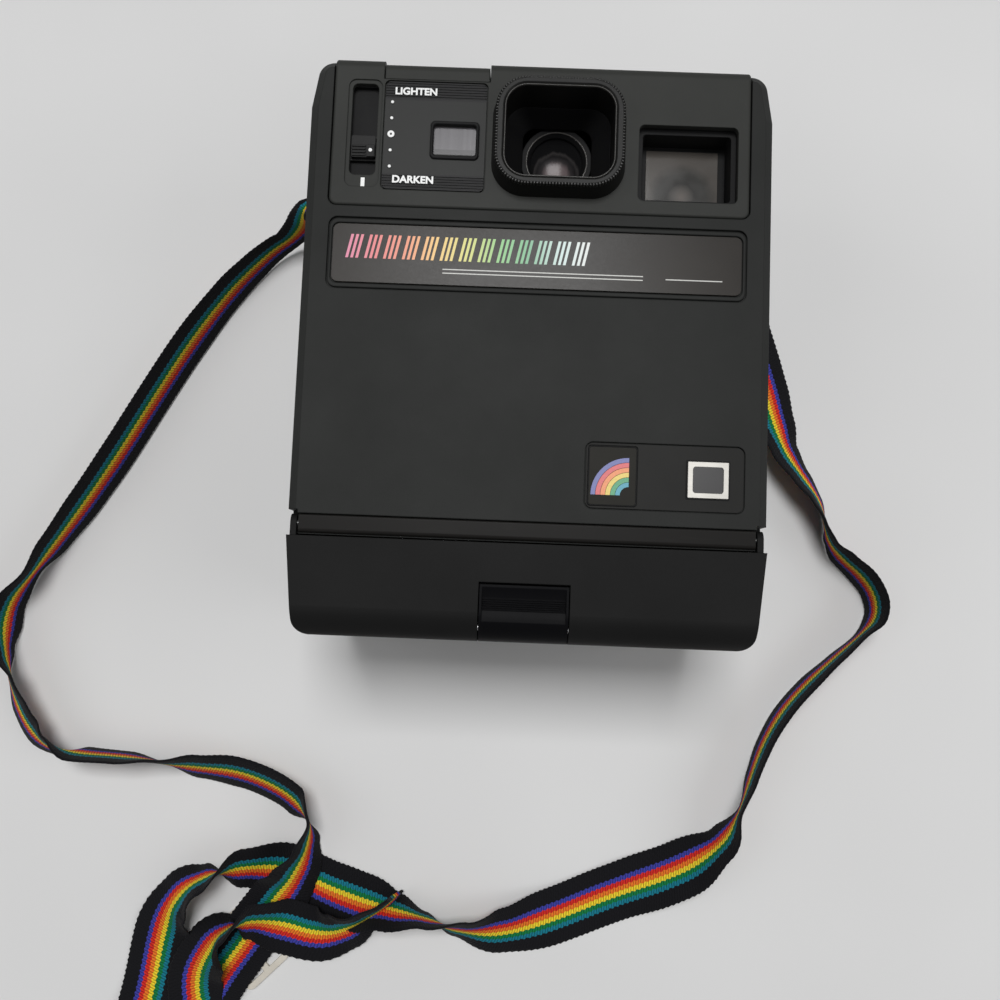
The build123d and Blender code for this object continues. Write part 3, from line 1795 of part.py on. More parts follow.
def gear(teeth, y, z, tooth_angle, bore):
    """Spur gear with one tooth at the given angle, measured from +Y towards +Z."""
    pitch_radius = gear_module * teeth / 2
    root = pitch_radius - tooth_root * gear_module
    tip = pitch_radius + tooth_tip * gear_module
    half_tooth = tooth_share * pi * gear_module / 2
    half_root = half_tooth + tan(radians(tooth_slope)) * (pitch_radius - root)
    half_tip = half_tooth - tan(radians(tooth_slope)) * (tip - pitch_radius)
    with BuildPart() as blank:
        with BuildSketch(Plane.YZ.offset(gear_left)):
            with Locations((y, z)):
                Circle(root)
                with PolarLocations(0, teeth, start_angle=tooth_angle):
                    Polygon(
                        (root - half_root, -half_root),
                        (root, -half_root),
                        (tip, -half_tip),
                        (tip, half_tip),
                        (root, half_root),
                        (root - half_root, half_root),
                        align=None,
                    )
                Circle(bore, mode=Mode.SUBTRACT)
        extrude(amount=gear_width)
    return blank.part


def meshing_angle(driver_angle, driver_teeth, teeth, direction):
    """Tooth angle of a gear that meshes with a driver lying opposite the given direction."""
    return direction + 180 - (driver_angle - direction) * driver_teeth / teeth + 180 / teeth


def direction_between(y, z, other_y, other_z):
    """Direction from one shaft to another, in degrees from +Y towards +Z."""
    return degrees(atan2(other_z - z, other_y - y))


idler_direction = direction_between(roller_y, drive_z, idler_y, idler_z)
pinion_direction = direction_between(idler_y, idler_z, pinion_y, pinion_z)
idler_angle = meshing_angle(0, roller_teeth, idler_teeth, idler_direction)
pinion_angle = meshing_angle(idler_angle, idler_teeth, roller_teeth, pinion_direction)
pressure_angle = meshing_angle(0, roller_teeth, roller_teeth, -90)

for name, roller_z in (("drive_roller", drive_z), ("pressure_roller", press_z)):
    with BuildPart() as roller:
        add(rod_along_x(roller_left, roller_right, roller_y, roller_z, roller_radius))
        add(rod_along_x(gear_left, frame_right + frame_plate + gear_gap, roller_y, roller_z, journal_radius))
    roller.part.label = name
    export_step(roller.part, f"parts/{name}.step")

with BuildPart() as roller_gear:
    add(gear(roller_teeth, roller_y, drive_z, 0, journal_radius))
roller_gear.part.label = "roller_gear"
export_step(roller_gear.part, "parts/roller_gear.step")

with BuildPart() as pressure_gear:
    add(gear(roller_teeth, roller_y, press_z, pressure_angle, journal_radius))
pressure_gear.part.label = "pressure_gear"
export_step(pressure_gear.part, "parts/pressure_gear.step")

with BuildPart() as reduction_gear:
    add(gear(idler_teeth, idler_y, idler_z, idler_angle, journal_radius + running_gap))
reduction_gear.part.label = "reduction_gear"
export_step(reduction_gear.part, "parts/reduction_gear.step")

motor_left = frame_left + frame_plate
with BuildPart() as motor_pinion:
    add(gear(roller_teeth, pinion_y, pinion_z, pinion_angle, shaft_radius))
    add(rod_along_x(gear_left, motor_left + shaft_reach, pinion_y, pinion_z, shaft_radius))
motor_pinion.part.label = "motor_pinion"
export_step(motor_pinion.part, "parts/motor_pinion.step")

with BuildPart() as drive_motor:
    add(rod_along_x(motor_left, motor_left + motor_length, pinion_y, pinion_z, motor_radius))
    fillet(drive_motor.faces().sort_by(Axis.X)[-1].edges(), 1.5)
    add(
        rod_along_x(
            motor_left + motor_length - 1,
            motor_left + motor_length + 2,
            pinion_y,
            pinion_z,
            motor_radius / 3,
        )
    )
    add(
        rod_along_x(motor_left - 1, motor_left + shaft_reach, pinion_y, pinion_z, shaft_radius + running_gap),
        mode=Mode.SUBTRACT,
    )
drive_motor.part.label = "drive_motor"
export_step(drive_motor.part, "parts/drive_motor.step")

cover_floor = wall - half_height
cover_back = base_lift + wall
frame_high = roller_y + roller_radius + frame_rise
frame_front = pinion_z + motor_radius + frame_margin
with BuildPart() as roller_frame:
    for plate_start in (frame_left, frame_right):
        with BuildSketch(Plane.YZ.offset(plate_start)):
            with BuildLine():
                Polyline(
                    (cover_floor, cover_back + base_corner),
                    (cover_floor + base_corner, cover_back),
                    (frame_high, cover_back),
                    (frame_high, drive_z + 2 * roller_radius),
                    (pinion_y + motor_radius, frame_front),
                    (cover_floor, frame_front),
                    close=True,
                )
            make_face()
            with Locations((roller_y, drive_z), (roller_y, press_z)):
                Circle(journal_radius + running_gap, mode=Mode.SUBTRACT)
            with Locations((pinion_y, pinion_z)):
                Circle(shaft_radius + running_gap, mode=Mode.SUBTRACT)
        extrude(amount=frame_plate)
    add(
        block_between(
            (frame_left, cover_floor, plate_foot),
            (frame_right + frame_plate, cover_floor + frame_plate, plate_foot + 4 * frame_plate),
        )
    )
    add(rod_along_x(gear_left, frame_left, idler_y, idler_z, journal_radius))
roller_frame.part.label = "roller_frame"
export_step(roller_frame.part, "parts/roller_frame.step")

spring_top = press_z - journal_radius - roller_spring_gap
roller_spring_inner = roller_spring_reach - roller_spring_foot
with BuildPart() as roller_springs:
    for x in (roller_left - frame_gap + roller_spring_inset, roller_right + roller_spring_inset):
        with BuildSketch(Plane.YZ.offset(x)):
            with BuildLine():
                ThreePointArc(
                    (roller_y - roller_spring_reach, cover_back),
                    (roller_y, spring_top),
                    (roller_y + roller_spring_reach, cover_back),
                )
                Line(
                    (roller_y + roller_spring_reach, cover_back),
                    (roller_y + roller_spring_inner, cover_back),
                )
                ThreePointArc(
                    (roller_y + roller_spring_inner, cover_back),
                    (roller_y, spring_top - spring_leaf),
                    (roller_y - roller_spring_inner, cover_back),
                )
                Line(
                    (roller_y - roller_spring_inner, cover_back),
                    (roller_y - roller_spring_reach, cover_back),
                )
            make_face()
        extrude(amount=roller_spring_width)
roller_springs.part.label = "roller_springs"
export_step(roller_springs.part, "parts/roller_springs.step")

# ---------------------------------------------------------------- neck strap and slide buckle
left_route = [
    (-78.4, 63.8, 51.6),
    (-84.0, 64.0, 48.5),
    (-91.0, 64.0, 38.0),
    (-99.0, 63.0, 23.0),
    (-109.0, 60.0, 8.5),
    (-121.0, 52.0, 2.1),
    (-134.0, 33.0, 2.1),
    (-147.0, 10.0, 2.1),
    (-159.0, -12.0, 2.1),
    (-171.5, -35.0, 2.1),
    (-185.0, -58.0, 2.1),
    (-197.0, -76.0, 2.1),
    (-204.0, -92.0, 2.1),
    (-204.5, -110.0, 2.1),
    (-201.0, -124.0, 2.1),
    (-194.0, -137.0, 2.1),
    (-184.0, -145.0, 2.1),
    (-168.0, -148.0, 2.1),
    (-145.0, -148.5, 2.1),
    (-121.0, -149.5, 2.1),
    (-104.0, -152.0, 2.1),
    (-91.0, -157.0, 2.1),
    (-83.0, -166.0, 3.0),
    (-81.0, -178.0, 6.6),
    (-82.5, -190.0, 6.6),
    (-88.0, -201.0, 4.2),
    (-94.0, -211.0, 3.4),
    (-101.0, -220.0, 3.8),
    (-108.0, -231.0, 3.0),
    (-114.0, -243.0, 2.1),
]
right_route = [
    (78.4, 63.8, 51.6),
    (84.0, 64.0, 48.5),
    (90.0, 63.5, 38.0),
    (95.0, 61.0, 23.0),
    (98.5, 55.0, 8.5),
    (101.0, 45.0, 2.1),
    (104.0, 30.0, 2.1),
    (106.0, 10.0, 2.1),
    (105.5, -8.0, 2.1),
    (109.0, -23.0, 2.1),
    (117.0, -34.0, 2.1),
    (123.0, -46.0, 2.1),
    (132.0, -58.0, 2.1),
    (142.0, -67.0, 2.1),
    (145.0, -76.0, 2.1),
    (138.0, -85.0, 2.1),
    (126.0, -95.0, 2.1),
    (114.0, -108.0, 2.1),
    (105.0, -123.0, 2.1),
    (98.5, -140.0, 2.1),
    (91.0, -157.0, 2.1),
    (81.0, -172.0, 2.1),
    (64.0, -182.0, 2.1),
    (41.0, -191.0, 2.1),
    (18.0, -201.0, 2.1),
    (-2.0, -206.0, 2.1),
    (-20.0, -206.0, 2.1),
    (-38.0, -203.5, 2.1),
    (-56.0, -200.0, 2.1),
    (-72.0, -194.0, 2.1),
    (-87.0, -187.0, 2.1),
    (-103.0, -185.5, 2.1),
    (-118.0, -189.0, 2.1),
    (-129.0, -198.0, 2.1),
    (-135.0, -213.0, 2.1),
    (-137.0, -230.0, 2.1),
    (-140.0, -247.0, 2.1),
    (-146.0, -262.0, 2.1),
    (-140.0, -276.0, 2.1),
    (-126.0, -281.0, 2.1),
    (-113.0, -274.0, 2.1),
    (-110.0, -260.0, 2.1),
    (-117.0, -245.0, 2.1),
    (-121.0, -230.0, 2.1),
    (-115.0, -217.0, 5.0),
    (-107.0, -207.0, 7.0),
    (-98.0, -204.0, 7.8),
    (-86.0, -207.5, 7.8),
    (-74.0, -211.0, 5.0),
    (-63.0, -208.0, 4.8),
    (-54.0, -201.5, 6.6),
    (-46.0, -195.5, 6.6),
    (-43.0, -192.0, 6.0),
]


def strap_tube(route, name):
    """Plain tube along a route of straight runs with the widest arcs that they leave room for."""
    corners = [Vector(*point) for point in route]
    runs = [b - a for a, b in zip(corners, corners[1:])]
    radii = []
    for before, after in zip(runs, runs[1:]):
        turn = radians(before.get_angle(after))
        radii.append(0.45 * min(before.length, after.length) / tan(turn / 2))
    print(name, "arc radii", [round(radius, 1) for radius in radii])
    with BuildPart() as tube:
        with BuildLine() as path:
            FilletPolyline(*route, radius=radii)
        with BuildSketch(Plane(origin=path.line @ 0, z_dir=path.line % 0)):
            Circle(strap_tube_radius)
        sweep()
    length = sum(edge.length for edge in path.edges())
    print(name, "length", round(length, 1), "volume over section", round(tube.part.volume / section_area, 1))
    return tube.part


strap_tube_radius = strap_thickness / 2
section_area = pi * strap_tube_radius**2
for name, route in (("strap_left", left_route), ("strap_right", right_route)):
    with BuildPart() as strap:
        add(strap_tube(route, name))
    strap.part.label = name
    export_step(strap.part, f"parts/{name}.step")

buckle_slot = (buckle_length - 3 * buckle_bar) / 2
with BuildPart() as slide_buckle:
    with BuildSketch(Plane(Location((buckle_x, buckle_y, buckle_lift), (0, 0, buckle_turn)))):
        RectangleRounded(buckle_length, buckle_width, buckle_corner)
        with GridLocations(buckle_slot + buckle_bar, 0, 2, 1):
            Rectangle(buckle_slot, buckle_width - 2 * buckle_side, mode=Mode.SUBTRACT)
    extrude(amount=buckle_thickness)
slide_buckle.part.label = "slide_buckle"
export_step(slide_buckle.part, "parts/slide_buckle.step")
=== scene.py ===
"""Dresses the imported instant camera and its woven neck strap, and lights them on a pale table.

Everything is in the frame of the part: +Z is the lens direction, +Y the viewfinder end, in metres.
"""
from math import ceil, cos, hypot, pi, radians, sin, sqrt

import bpy
from mathutils import Euler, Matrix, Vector


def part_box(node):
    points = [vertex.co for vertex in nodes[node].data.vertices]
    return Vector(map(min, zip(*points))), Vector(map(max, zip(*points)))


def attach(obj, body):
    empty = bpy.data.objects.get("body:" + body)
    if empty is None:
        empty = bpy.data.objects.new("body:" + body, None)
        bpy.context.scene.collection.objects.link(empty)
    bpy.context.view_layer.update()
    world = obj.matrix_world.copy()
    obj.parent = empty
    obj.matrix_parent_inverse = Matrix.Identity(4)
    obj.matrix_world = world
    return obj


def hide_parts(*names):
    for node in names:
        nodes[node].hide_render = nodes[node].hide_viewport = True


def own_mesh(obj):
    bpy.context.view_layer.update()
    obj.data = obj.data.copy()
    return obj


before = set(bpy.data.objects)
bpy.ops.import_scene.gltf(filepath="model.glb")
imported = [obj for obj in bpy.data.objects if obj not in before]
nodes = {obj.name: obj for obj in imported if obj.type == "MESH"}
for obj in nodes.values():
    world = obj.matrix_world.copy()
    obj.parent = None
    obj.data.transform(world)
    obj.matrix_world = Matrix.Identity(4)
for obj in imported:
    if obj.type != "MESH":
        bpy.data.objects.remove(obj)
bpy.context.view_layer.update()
MM = 0.001

# Lengths below are in millimetres. A loop is the width, height and corner radius of an outline,
# and a margin is how far an outline goes past a node's box in width and height, and its radius.
# Levels are the bottom and the top of a piece from the surface it lies on

# Prints reach this far into the surface below them and stand this far out of it
INK_SINK = 0.2
INK_RISE = 0.05

# Exposure scale
HEADER_STRIP = 6.0
FOOTER_STRIP = 5.0
CELL_SHADE = 2.4
LETTER_WEIGHT = 0.036
WORD_HEIGHT = 2.4
WORD_LEVELS = (-0.3, 0.06)
DOT_INSET = 2.3
DOT_PITCH = 5.22
DOT_RADIUS = 0.5
DOT_LEVELS = (-0.2, 0.1)
RING_SHIFT = 0.05
RING_RADII = (1.12, 0.34)
RING_EDGE = 0.08
BEZEL_LOOPS = ((15.2, 12.3, 1.5), (13.3, 10.0, 0.9))
BEZEL_DROP = 0.2
BEZEL_LEVELS = (-0.2, 0.35)
BEZEL_EDGE = 0.3

# Slider's dot, from the middle of the knob, and the mark below its track
KNOB_DOT = (2.35, -1.4)
KNOB_DOT_RADIUS = 0.62
KNOB_DOT_LEVELS = (-0.3, 0.1)
MARK_DROP = 1.3
MARK_LOW = (-0.2, -1.8, -0.8)
MARK_HIGH = (1.0, 1.8, -0.42)

# Lens hood and lens. A knurl has half a width at each of three levels
KNURL_LOOP = (38.9, 33.5, 9.6)
KNURL_PITCH = 0.95
KNURL_HALVES = ((-1.5, 0.29), (-0.25, 0.29), (0.02, 0.2))
KNURL_DEPTH = 1.5
LIP_LOOPS = ((34.3, 29.4, 7.0), (33.5, 28.6, 6.6))
LIP_LEVELS = (-1.2, -0.25)
LIP_EDGE = 0.12
LENS_RING_RADII = (10.15, 9.65)
LENS_RING_LEVELS = (-0.1, 0.3)
LENS_RING_EDGE = 0.15

# Name plate, with places from its middle
BORDER_MARGINS = ((2.4, 3.4, 2.5), (0.7, 0.7, 2.1))
BORDER_LEVELS = (-0.75, -0.05)
BORDER_EDGE = 0.2
BARS_LEFT = -59.3
BARS_FOOT = -1.6
BARS_HEAD = 5.9
BAR_GROUPS = 13
BARS_PER_GROUP = 3
BAR_GROUP_PITCH = 5.85
BAR_PITCH = 1.55
BAR_WIDTH = 0.85
BAR_LEAN = 1.6
LINES = ((-29.0, 33.0, -4.3), (-29.0, 33.0, -5.5), (40.0, 57.5, -5.0))
LINE_HALF = 0.16

# Badges
TILE_MARGINS = ((0.3, 0.3, 1.1), (-0.5, -0.5, 0.8))
TILE_RISE = 0.08
TILE_EDGE = 0.05
ARCS_INSET = 2.4
ARCS_RISE = 3.2
ARC_START = 2.6
ARC_PITCH = 1.5
ARC_GAP = 0.12
ARC_STEPS = 20
INSET_MARGIN = (-3.0, -2.9, 0.9)
INSET_LEVELS = (-0.6, -0.12)
INSET_EDGE = 0.12
# Painted shadow: a black ring on the panel round the silver badge
SHADOW_RING_MARGINS = ((1.1, 1.1, 0.5), (0.1, 0.1, 0.3))
SHADOW_RING_LEVELS = (-0.2, 0.06)
SHADOW_RING_EDGE = 0.03

# Brightness of the room on the part, and of the room itself where it is seen or mirrored
ROOM_LIGHT = 0.1
ROOM_SEEN = 0.62
TABLE_HALF = 3000.0

# Name, place, power in watts and width of each lamp. All of them face the origin
LAMPS = (
    ("ceiling_light", (-60, 740, 3000), 65.0, 900),
    ("window_light", (-900, -100, 1000), 2.5, 900),
    ("side_light", (1000, -200, 900), 4.0, 800),
)


def mm(*values):
    """A point or size given in millimetres."""
    return Vector([value * MM for value in values])


def srgb(red, green, blue):
    """Linear colour of an 8-bit screen colour."""
    linear = []
    for value in (red, green, blue):
        share = value / 255
        linear.append(share / 12.92 if share <= 0.04045 else ((share + 0.055) / 1.055) ** 2.4)
    return (*linear, 1.0)


RAINBOW = (
    ("teal", srgb(60, 150, 172)),
    ("green", srgb(66, 150, 104)),
    ("yellow", srgb(222, 196, 96)),
    ("orange", srgb(226, 138, 84)),
    ("red", srgb(206, 88, 92)),
    ("indigo", srgb(92, 98, 158)),
)


# ---- camera
def make_camera():
    """Camera that looks down on the table, a little from the lower end."""
    data = bpy.data.cameras.new("view")
    data.lens = 36.0
    data.sensor_width = 36.0
    data.dof.use_dof = False
    data.clip_start = 0.01
    camera = bpy.data.objects.new("view", data)
    camera.location = mm(-6.08, -75.0, 405.37)
    camera.rotation_euler = Euler((radians(5.175), radians(0.237), radians(2.246)), "XYZ")
    bpy.context.scene.collection.objects.link(camera)
    bpy.context.scene.camera = camera


# ---- node helpers
class Material:
    """Node material with short calls for the nodes that the finishes share."""

    def __init__(self, name):
        self.data = bpy.data.materials.new(name)
        self.data.use_nodes = True
        self.tree = self.data.node_tree
        self.shader = self.tree.nodes["Principled BSDF"]
        self.place = self.tree.nodes.new("ShaderNodeTexCoord").outputs["Object"]

    def node(self, kind, inputs=None, **settings):
        """Adds a node, sets its properties, and links or sets its inputs."""
        made = self.tree.nodes.new(kind)
        for key, value in settings.items():
            setattr(made, key, value)
        for key, value in (inputs or {}).items():
            if isinstance(value, bpy.types.NodeSocket):
                self.tree.links.new(value, made.inputs[key])
            else:
                made.inputs[key].default_value = value
        return made

    def set(self, **values):
        """Sets constant values on the shader. Socket names have underscores for spaces."""
        for key, value in values.items():
            self.shader.inputs[key.replace("_", " ")].default_value = value

    def link(self, socket, name):
        """Links a socket to one of the shader's inputs."""
        self.tree.links.new(socket, self.shader.inputs[name])

    def math(self, operation, first, second=0.0, third=0.0):
        """Result of a math node."""
        inputs = {0: first, 1: second, 2: third}
        return self.node("ShaderNodeMath", inputs, operation=operation).outputs[0]

    def line(self, value, slope, start):
        """Value times a slope, plus a start."""
        return self.math("MULTIPLY_ADD", value, slope, start)

    def along(self, axis):
        """Coordinate along one of the frame's axes, in metres."""
        return self.node("ShaderNodeSeparateXYZ", {0: self.place}).outputs[axis]

    def distance(self, centre):
        """Distance from a point of the frame, in metres."""
        made = self.node("ShaderNodeVectorMath", {0: self.place, 1: centre}, operation="DISTANCE")
        return made.outputs["Value"]

    def share(self, value, low, high):
        """Place of a value between two bounds, from 0 to 1."""
        return self.node("ShaderNodeMapRange", {0: value, 1: low, 2: high}).outputs[0]

    def noise(self, scale, detail=2.0, roughness=0.5, stretch=(1, 1, 1)):
        """Noise in the frame's own metres, stretched along the axes."""
        mapped = self.node("ShaderNodeMapping", {"Vector": self.place, "Scale": stretch})
        made = self.node(
            "ShaderNodeTexNoise",
            {"Vector": mapped.outputs[0], "Scale": scale, "Detail": detail, "Roughness": roughness},
        )
        return made.outputs["Fac"]

    def ramp(self, factor, stops, interpolation="LINEAR"):
        """Colour ramp with the given (position, colour) stops."""
        made = self.node("ShaderNodeValToRGB", {"Fac": factor})
        ramp = made.color_ramp
        ramp.interpolation = interpolation
        while len(ramp.elements) < len(stops):
            ramp.elements.new(1.0)
        for element, (position, colour) in zip(ramp.elements, stops):
            element.position = position
            element.color = colour
        return made.outputs["Color"]

    def mix(self, factor, first, second):
        """Mix of two colours."""
        made = self.node("ShaderNodeMix", {"Factor": factor, 6: first, 7: second}, data_type="RGBA")
        return made.outputs[2]

    def bump(self, height, strength, distance, edge=0.0):
        """Bump on the shader's normal, over edges rounded by a small radius."""
        inputs = {"Height": height, "Strength": strength, "Distance": distance}
        if edge:
            inputs["Normal"] = self.node("ShaderNodeBevel", {"Radius": edge}, samples=4).outputs[0]
        self.link(self.node("ShaderNodeBump", inputs).outputs[0], "Normal")


def scaled(colour, factor):
    """Colour made lighter or darker."""
    return (*[min(1.0, channel * factor) for channel in colour[:3]], 1.0)


def moulded(name, colour, roughness, grain=0.35, edge=0.45, specular=0.4):
    """Moulded plastic: fine spark-eroded grain, faint blotches, polished patches and dust."""
    made = Material(name)
    blotches = made.noise(22.0, 4.0, 0.6)
    fine = made.noise(2600.0, 2.0)
    tones = [(0.3, scaled(colour, 0.88)), (0.55, colour), (0.8, scaled(colour, 1.12))]
    specks = made.ramp(made.noise(900.0, 1.0), [(0.74, (0, 0, 0, 1)), (0.80, (1, 1, 1, 1))])
    dust = made.math("MULTIPLY", specks, 0.10)
    tint = made.ramp(blotches, tones)
    made.link(made.mix(dust, tint, scaled(colour, 2.2)), "Base Color")
    made.link(made.line(fine, 0.08, made.line(blotches, -0.14, roughness + 0.07)), "Roughness")
    made.bump(fine, grain, 0.06 * MM, edge * MM)
    made.set(Specular_IOR_Level=specular)
    return made.data


def polished(name, colour, roughness, specular=0.3):
    """Glossy moulded plastic with faint hairline scratches."""
    made = Material(name)
    blotches = made.noise(30.0, 3.0)
    hairs = made.noise(500.0, 3.0, 0.6, (0.12, 1.0, 1.0))
    scratch = made.ramp(hairs, [(0.62, (0, 0, 0, 1)), (0.66, (1, 1, 1, 1)), (0.70, (0, 0, 0, 1))])
    scratched = made.math("MULTIPLY", scratch, 0.12)
    made.link(made.mix(scratched, colour, scaled(colour, 2.5)), "Base Color")
    made.link(made.line(blotches, 0.12, roughness - 0.05), "Roughness")
    made.bump(hairs, 0.08, 0.02 * MM, 0.3 * MM)
    made.set(Specular_IOR_Level=specular)
    return made.data


def metal(name, colour, roughness, grain_stretch=(0.05, 1.0, 1.0), edge=0.15, metallic=1.0):
    """Bright metal with a drawn or brushed grain."""
    made = Material(name)
    grain = made.noise(4200.0, 3.0, 0.6, grain_stretch)
    stain = made.noise(90.0, 3.0)
    made.set(Metallic=metallic)
    made.link(made.ramp(stain, [(0.3, scaled(colour, 0.82)), (0.7, colour)]), "Base Color")
    made.link(made.line(grain, 0.16, roughness - 0.08), "Roughness")
    made.bump(grain, 0.15, 0.02 * MM, edge * MM)
    return made.data


def clear(name, tint, ior):
    """Glass with a very faint bloom of dust."""
    made = Material(name)
    bloom = made.noise(260.0, 3.0)
    made.set(Transmission_Weight=1.0, IOR=ior)
    made.link(made.ramp(bloom, [(0.4, tint), (0.8, scaled(tint, 0.93))]), "Base Color")
    made.link(made.line(bloom, 0.05, 0.02), "Roughness")
    return made.data


def printed(name, colour):
    """Opaque printing ink, slightly uneven."""
    made = Material(name)
    patchy = made.noise(1600.0, 2.0)
    made.link(made.ramp(patchy, [(0.3, scaled(colour, 0.86)), (0.6, colour)]), "Base Color")
    made.set(Roughness=0.42)
    made.bump(patchy, 0.1, 0.01 * MM)
    return made.data


# ---- mesh helpers
def add_mesh(name, vertices, faces, material, smooth=False):
    """New object from vertex positions in metres and faces."""
    mesh = bpy.data.meshes.new(name)
    mesh.from_pydata([tuple(vertex) for vertex in vertices], [], faces)
    mesh.materials.append(material)
    if smooth:
        mesh.shade_smooth()
    made = bpy.data.objects.new(name, mesh)
    bpy.context.scene.collection.objects.link(made)
    return made


def rounded_loop(width, height, radius, centre, steps=6):
    """Outline of a rounded rectangle, anticlockwise, in millimetres."""
    points = []
    for corner, (side_x, side_y) in enumerate(((1, 1), (-1, 1), (-1, -1), (1, -1))):
        for step in range(steps + 1):
            angle = pi / 2 * (corner + step / steps)
            x = centre[0] + side_x * (width / 2 - radius) + radius * cos(angle)
            y = centre[1] + side_y * (height / 2 - radius) + radius * sin(angle)
            points.append((x, y))
    return points


def band_faces(low, high, count):
    """Faces between two closed outlines, from the index of each one's first vertex."""
    steps = [(index, (index + 1) % count) for index in range(count)]
    return [(low + step, low + after, high + after, high + step) for step, after in steps]


def stack_loops(loops, ring=False):
    """Vertices, and faces between successive outlines of equal length, in millimetres.

    The ends have caps, or a ring's last outline joins its first.
    """
    count = len(loops[0])
    vertices = [mm(*point) for loop in loops for point in loop]
    faces = []
    pairs = list(range(len(loops) - 1)) + ([len(loops) - 1] if ring else [])
    for low in pairs:
        high = (low + 1) % len(loops)
        faces += band_faces(low * count, high * count, count)
    if not ring:
        faces.append(tuple(reversed(range(count))))
        faces.append(tuple(range((len(loops) - 1) * count, len(loops) * count)))
    return vertices, faces


def plate_with_edge(name, outline, levels, edge, centre, material):
    """Thin plate on the body with a softly broken upper edge."""
    bottom, top = levels

    def drawn_in(height, amount):
        loop = []
        for x, y in outline:
            from_x, from_y = x - centre[0], y - centre[1]
            share = 1 - amount / hypot(from_x, from_y)
            loop.append((centre[0] + from_x * share, centre[1] + from_y * share, height))
        return loop

    loops = [
        drawn_in(bottom, 0),
        drawn_in(top - edge, 0),
        drawn_in(top - edge * 0.3, edge * 0.3),
        drawn_in(top, edge),
    ]
    on_body(add_mesh(name, *stack_loops(loops), material))


def frame_ring(name, outlines, levels, edge, material):
    """Raised frame on the body between two outlines of equal length, with broken edges."""
    outer, inner = outlines
    bottom, top = levels

    def level(outline, towards, amount, height):
        loop = []
        for (x, y), (to_x, to_y) in zip(outline, towards):
            share = amount / hypot(to_x - x, to_y - y)
            loop.append((x + (to_x - x) * share, y + (to_y - y) * share, height))
        return loop

    loops = [
        level(outer, inner, 0, bottom),
        level(outer, inner, 0, top - edge),
        level(outer, inner, edge, top),
        level(inner, outer, edge, top),
        level(inner, outer, 0, top - edge),
        level(inner, outer, 0, bottom),
    ]
    on_body(add_mesh(name, *stack_loops(loops, ring=True), material))


def extruded(outline, levels):
    """Vertices and faces of an upright prism."""
    return stack_loops([[(*point, level) for point in outline] for level in levels])


def block(low, high):
    """Vertices and faces of a box."""
    outline = [(low[0], low[1]), (high[0], low[1]), (high[0], high[1]), (low[0], high[1])]
    return extruded(outline, (low[2], high[2]))


def joined(name, parts, material, body="body"):
    """One piece on a body from several pairs of vertices and faces."""
    vertices = []
    faces = []
    for part_vertices, part_faces in parts:
        start = len(vertices)
        vertices += part_vertices
        faces += [tuple(start + index for index in face) for face in part_faces]
    on_body(add_mesh(name, vertices, faces, material), body)


def circle(centre, radius, steps):
    """Points of a circle in millimetres."""
    turns = [2 * pi * step / steps for step in range(steps)]
    return [(centre[0] + radius * cos(turn), centre[1] + radius * sin(turn)) for turn in turns]


def disc(centre, radius, levels):
    """Vertices and faces of a small round dot with a domed rim."""
    bottom, top = levels
    loops = []
    for height, share in ((bottom, 1.0), (bottom * 0.4 + top * 0.6, 1.0), (top, 0.86)):
        loops.append([(*point, height) for point in circle(centre, radius * share, 24)])
    return stack_loops(loops)


def on_body(piece, body="body"):
    """Lets a piece ride on a body of the part."""
    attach(piece, body)


# ---- finishes
def scale_grey():
    """Moulded plastic of the scale plate, darker on the ribbed strips at its two ends."""
    low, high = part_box("scale_plate")
    made = Material("scale_grey")
    colour = srgb(28, 29, 28)
    fine = made.noise(2600.0, 2.0)
    header = made.math("GREATER_THAN", made.along(1), high.y - HEADER_STRIP * MM)
    footer = made.math("LESS_THAN", made.along(1), low.y + FOOTER_STRIP * MM)
    tones = [(0.3, scaled(colour, 0.9)), (0.7, scaled(colour, 1.1))]
    tint = made.ramp(made.noise(24.0, 3.0), tones)
    made.link(made.mix(made.math("ADD", header, footer), tint, srgb(17, 17, 18)), "Base Color")
    made.link(made.line(fine, 0.10, 0.46), "Roughness")
    made.bump(fine, 0.3, 0.05 * MM, 0.25 * MM)
    made.set(Specular_IOR_Level=0.20)
    return made.data


def photocell_glass():
    """Pale ridged window in front of the photocell, with painted shade along its lower side."""
    low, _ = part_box("photocell_window")
    made = Material("photocell_glass")
    ridges = made.noise(700.0, 1.0, 0.5, (1.0, 0.02, 1.0))
    sheen = made.ramp(ridges, [(0.3, srgb(76, 74, 78)), (0.7, srgb(88, 86, 90))])
    # Painted shade: a darker strip along the window's lower side
    shaded = made.math("LESS_THAN", made.along(1), low.y + CELL_SHADE * MM)
    made.link(made.mix(shaded, sheen, srgb(56, 55, 58)), "Base Color")
    made.link(made.line(ridges, 0.1, 0.2), "Roughness")
    made.bump(ridges, 0.2, 0.03 * MM)
    made.set(Specular_IOR_Level=0.3)
    return made.data


